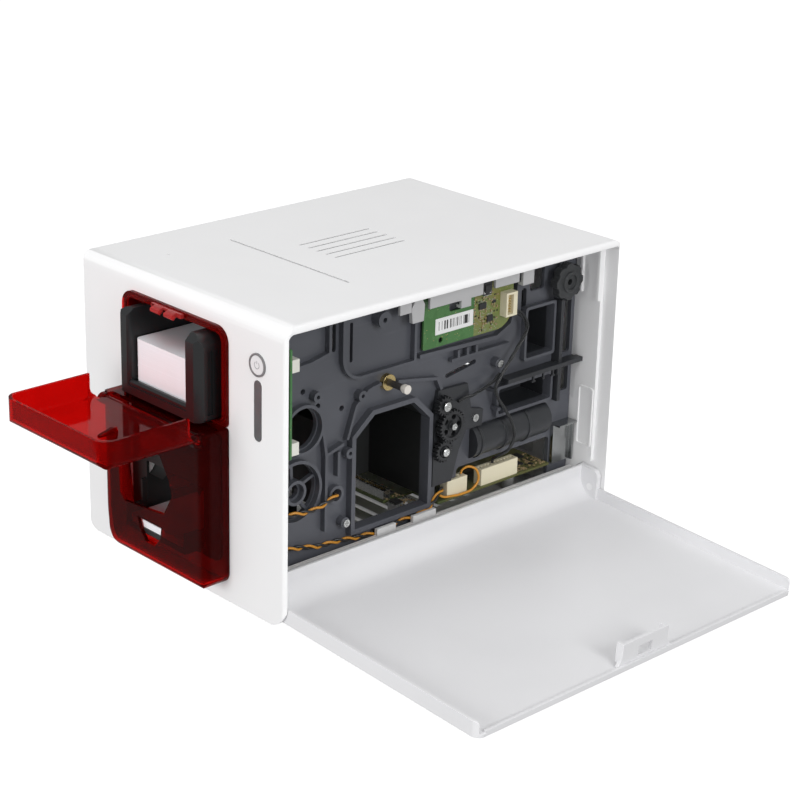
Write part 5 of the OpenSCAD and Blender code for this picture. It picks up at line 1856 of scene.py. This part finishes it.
@dataclass(frozen=True)
class Wire:
    """A wire or a bundle of wires along a route. Lengths are in millimetres.

    Attributes:
        node: The construction node that it stands for.
        finish: The finish of its insulation.
        slot: Its material slot.
        route: The points of its middle line: out from the chassis, back, and up from the main board.
        radius: The radius of one wire.
        offset: How far each wire lies from the middle line.
        pitch: The length of one turn of the twist.
        start: The angle of the first wire, in degrees.
        strands: How many wires the bundle has.
        fan: How many times further the wires lie apart at the first end.
        fan_length: How fast they come together from there.
        step: The longest distance of two points of the middle line.
        origin: The point in the frame that routes are measured from.
        side_hint: A direction that no route runs in, which the twist's angle is measured from.
    """

    node: str
    finish: Finish
    slot: str
    route: Route
    radius: float = 0.8
    offset: float = 0.9
    pitch: float = 16.0
    start: float = 0.0
    strands: int = 1
    fan: float = 1.0
    fan_length: float = 14.0
    step: float = 1.0
    origin: Triple = (66.0, 0.0, 33.0)
    side_hint: Triple = (1.0, 0.2, 0.3)

    def middle_line(self) -> list[Vector]:
        """Works out a smooth curve through the route.

        Returns:
            Its points in the frame.
        """
        knots = [Vector(self.origin) + Vector(point) for point in self.route]
        line = []
        for i, (first, second) in enumerate(zip(knots, knots[1:])):
            count = max(1, math.ceil((second - first).length / self.step))
            line += [curve_point(knots, i, k / count) for k in range(count)]
        return line + knots[-1:]

    def strand(self, line: Sequence[Vector], angle: float) -> list[Vector]:
        """Works out one wire of the twist.

        Args:
            line: The points of the middle line.
            angle: The wire's angle at the first end, in degrees.

        Returns:
            Its points, in metres.
        """
        points = []
        travelled = 0.0
        for i, point in enumerate(line):
            previous, following = line[max(i - 1, 0)], line[min(i + 1, len(line) - 1)]
            travelled += (point - previous).length
            heading = (following - previous).normalized()
            side = heading.cross(Vector(self.side_hint)).normalized()
            turn = math.radians(angle) + 2 * math.pi * travelled / self.pitch
            spread = 1 + (self.fan - 1) * math.exp(-travelled / self.fan_length)
            away = math.cos(turn) * side + math.sin(turn) * heading.cross(side)
            points.append((point + self.offset * spread * away) * MM)
        return points

    def lines(self) -> bpy.types.Mesh:
        """Draws the middle lines of all its wires.

        Returns:
            A mesh that has only edges, in metres.
        """
        middle = self.middle_line()
        build = bmesh.new()
        for k in range(self.strands):
            corners = [build.verts.new(p) for p in self.strand(middle, self.start + 360 * k / self.strands)]
            for pair in zip(corners, corners[1:]):
                build.edges.new(pair)
        mesh = bpy.data.meshes.new(self.node + "_lines")
        build.to_mesh(mesh)
        build.free()
        return mesh


@dataclass
class Wiring(Assembly):
    """The twisted leads, the loop of the fan's lead and the cable bundles.

    Attributes:
        sides: How many sides a wire has.
        wires: The wires.
    """

    sides: int = 12
    wires: tuple[Wire, ...] = (
        Wire("lead_orange_low", WIRE_ORANGE, "wire_orange", LOW_ROUTE),
        Wire("lead_black_low", WIRE_BLACK, "wire_black", LOW_ROUTE, start=180.0),
        Wire("lead_orange_high", WIRE_ORANGE, "wire_orange", HIGH_ROUTE),
        Wire("lead_black_high", WIRE_BLACK, "wire_black", HIGH_ROUTE, start=180.0),
        Wire("loop_orange", WIRE_ORANGE, "wire_orange", LOOP_ROUTE, offset=0.0),
        Wire("cable_long", WIRE_BLACK, "wire_black", LONG_ROUTE, 0.52, 0.62, 34.0, strands=4, fan=2.6),
        Wire("cable_short", WIRE_BLACK, "wire_black", SHORT_ROUTE, 0.52, 0.6, 30.0, strands=3),
    )

    def add_pieces(self) -> None:
        """Sweeps the wires and puts them in the place of their construction nodes."""
        tree = wire_tree()
        for wire in self.wires:
            values = {"Radius": wire.radius * MM, "Sides": self.sides}
            piece = tree.grow(wire.node + "_wire", wire.finish, values, wire.lines())
            self.model.add(piece, wire.slot, replaces=(wire.node,))


# ---- The studio ----


@dataclass(frozen=True)
class Lamp:
    """A soft square light.

    Attributes:
        name: Its name.
        place: Where it hangs, in metres.
        size: The length of its side, in metres.
        power: Its power in watts.
    """

    name: str
    place: Triple
    size: float
    power: float

    def hang(self, aim: Vector) -> None:
        """Hangs the light.

        Args:
            aim: The point that it faces.
        """
        data = bpy.data.lights.new(self.name, "AREA")
        data.size = self.size
        data.energy = self.power
        light = link(self.name, data)
        light.location = self.place
        light.rotation_euler = (aim - Vector(self.place)).to_track_quat("-Z", "Y").to_euler()


@dataclass
class Studio:
    """The camera, the floor and the soft lights.

    Attributes:
        camera_at: Where the camera stands, in metres.
        yaw: How far it is turned to the left from +Y, in degrees.
        pitch: How far it looks down, in degrees.
        roll: How far it is tilted, in degrees.
        lens: Its focal length, in millimetres.
        sensor: The width of its film, in millimetres.
        view_end: How far it sees, in metres.
        floor_size: The length of the floor's side, in metres.
        floor_drop: How far the floor lies under the feet, in metres.
        floor_tones: The two tones of the floor.
        floor_glow: How strongly the floor shines by itself.
        world_strength: How strongly the white surroundings shine.
        aim: The point that the lights face, in metres.
        lamps: The lights.
    """

    camera_at: Triple = (0.9626, -0.8743, 0.5875)
    yaw: float = 46.40
    pitch: float = 20.99
    roll: float = 1.49
    lens: float = 96.26
    sensor: float = 36.0
    view_end: float = 20.0
    floor_size: float = 8.0
    floor_drop: float = 0.0002
    floor_tones: tuple[Colour, Colour] = ((0.28, 0.28, 0.285), (0.3, 0.3, 0.3))
    floor_glow: float = 0.92
    world_strength: float = 0.47
    aim: Triple = (0.0, 0.0, 0.1)
    lamps: tuple[Lamp, ...] = (
        Lamp("key_light", (0.1, -1.9, 0.4), 1.0, 19.0),
        Lamp("side_light", (2.05, -0.2, 0.9), 0.8, 19.0),
        Lamp("top_light", (0.1, -0.2, 2.0), 1.6, 12.5),
    )

    def build(self) -> None:
        """Makes the studio."""
        view = bpy.context.scene.view_settings
        view.view_transform = "Standard"
        view.look = "None"
        self.make_world()
        self.make_camera()
        self.make_floor()
        for lamp in self.lamps:
            lamp.hang(Vector(self.aim))

    def make_world(self) -> None:
        """Gives the scene its white surroundings."""
        world = bpy.data.worlds.new("studio_white")
        world.use_nodes = True
        background = world.node_tree.nodes["Background"]
        background.inputs["Color"].default_value = (1.0, 1.0, 1.0, 1.0)
        background.inputs["Strength"].default_value = self.world_strength
        bpy.context.scene.world = world

    def make_camera(self) -> None:
        """Places the camera."""
        data = bpy.data.cameras.new("camera")
        data.lens = self.lens
        data.sensor_width = self.sensor
        data.sensor_fit = "HORIZONTAL"
        data.clip_end = self.view_end
        yaw, pitch, roll = map(math.radians, (self.yaw, self.pitch, self.roll))
        ahead = Vector((-math.sin(yaw) * math.cos(pitch), math.cos(yaw) * math.cos(pitch), -math.sin(pitch)))
        right = Vector((math.cos(yaw), math.sin(yaw), 0.0))
        up = right.cross(ahead)
        tilted_right = math.cos(roll) * right + math.sin(roll) * up
        tilted_up = math.cos(roll) * up - math.sin(roll) * right
        turn = Matrix((tilted_right, tilted_up, -ahead)).transposed().to_4x4()
        camera = link("camera", data)
        camera.matrix_world = Matrix.Translation(self.camera_at) @ turn
        bpy.context.scene.camera = camera

    def make_floor(self) -> None:
        """Lays the pale floor."""
        reach = self.floor_size / 2
        ways = ((-1, -1), (1, -1), (1, 1), (-1, 1))
        corners = [(x * reach, y * reach, -self.floor_drop) for x, y in ways]
        graph = Graph("floor_paper")
        graph.surface(
            base_color=graph.mix(graph.noise(3.0), *self.floor_tones),
            roughness=0.9,
            specular_ior_level=0.0,
            emission_color=(1.0, 1.0, 1.0),
            emission_strength=self.floor_glow,
        )
        mesh = bpy.data.meshes.new("floor")
        mesh.from_pydata(corners, [], [range(len(corners))])
        mesh.materials.append(graph.material)
        floor = link("floor", mesh)
        floor.visible_diffuse = False
        floor.visible_glossy = False
        floor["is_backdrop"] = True


def main() -> None:
    """Dresses the whole printer."""
    logging.basicConfig(level=logging.INFO, format="%(name)s: %(message)s")
    model = Model()
    Studio().build()
    for assembly in (Enclosure, ServiceCover, Feeder, Controls, Mechanism, Boards, Wiring):
        assembly(model).build()
        LOG.info("%s done", assembly.__name__)
    model.write_sizes()


if __name__ == "__main__":
    main()
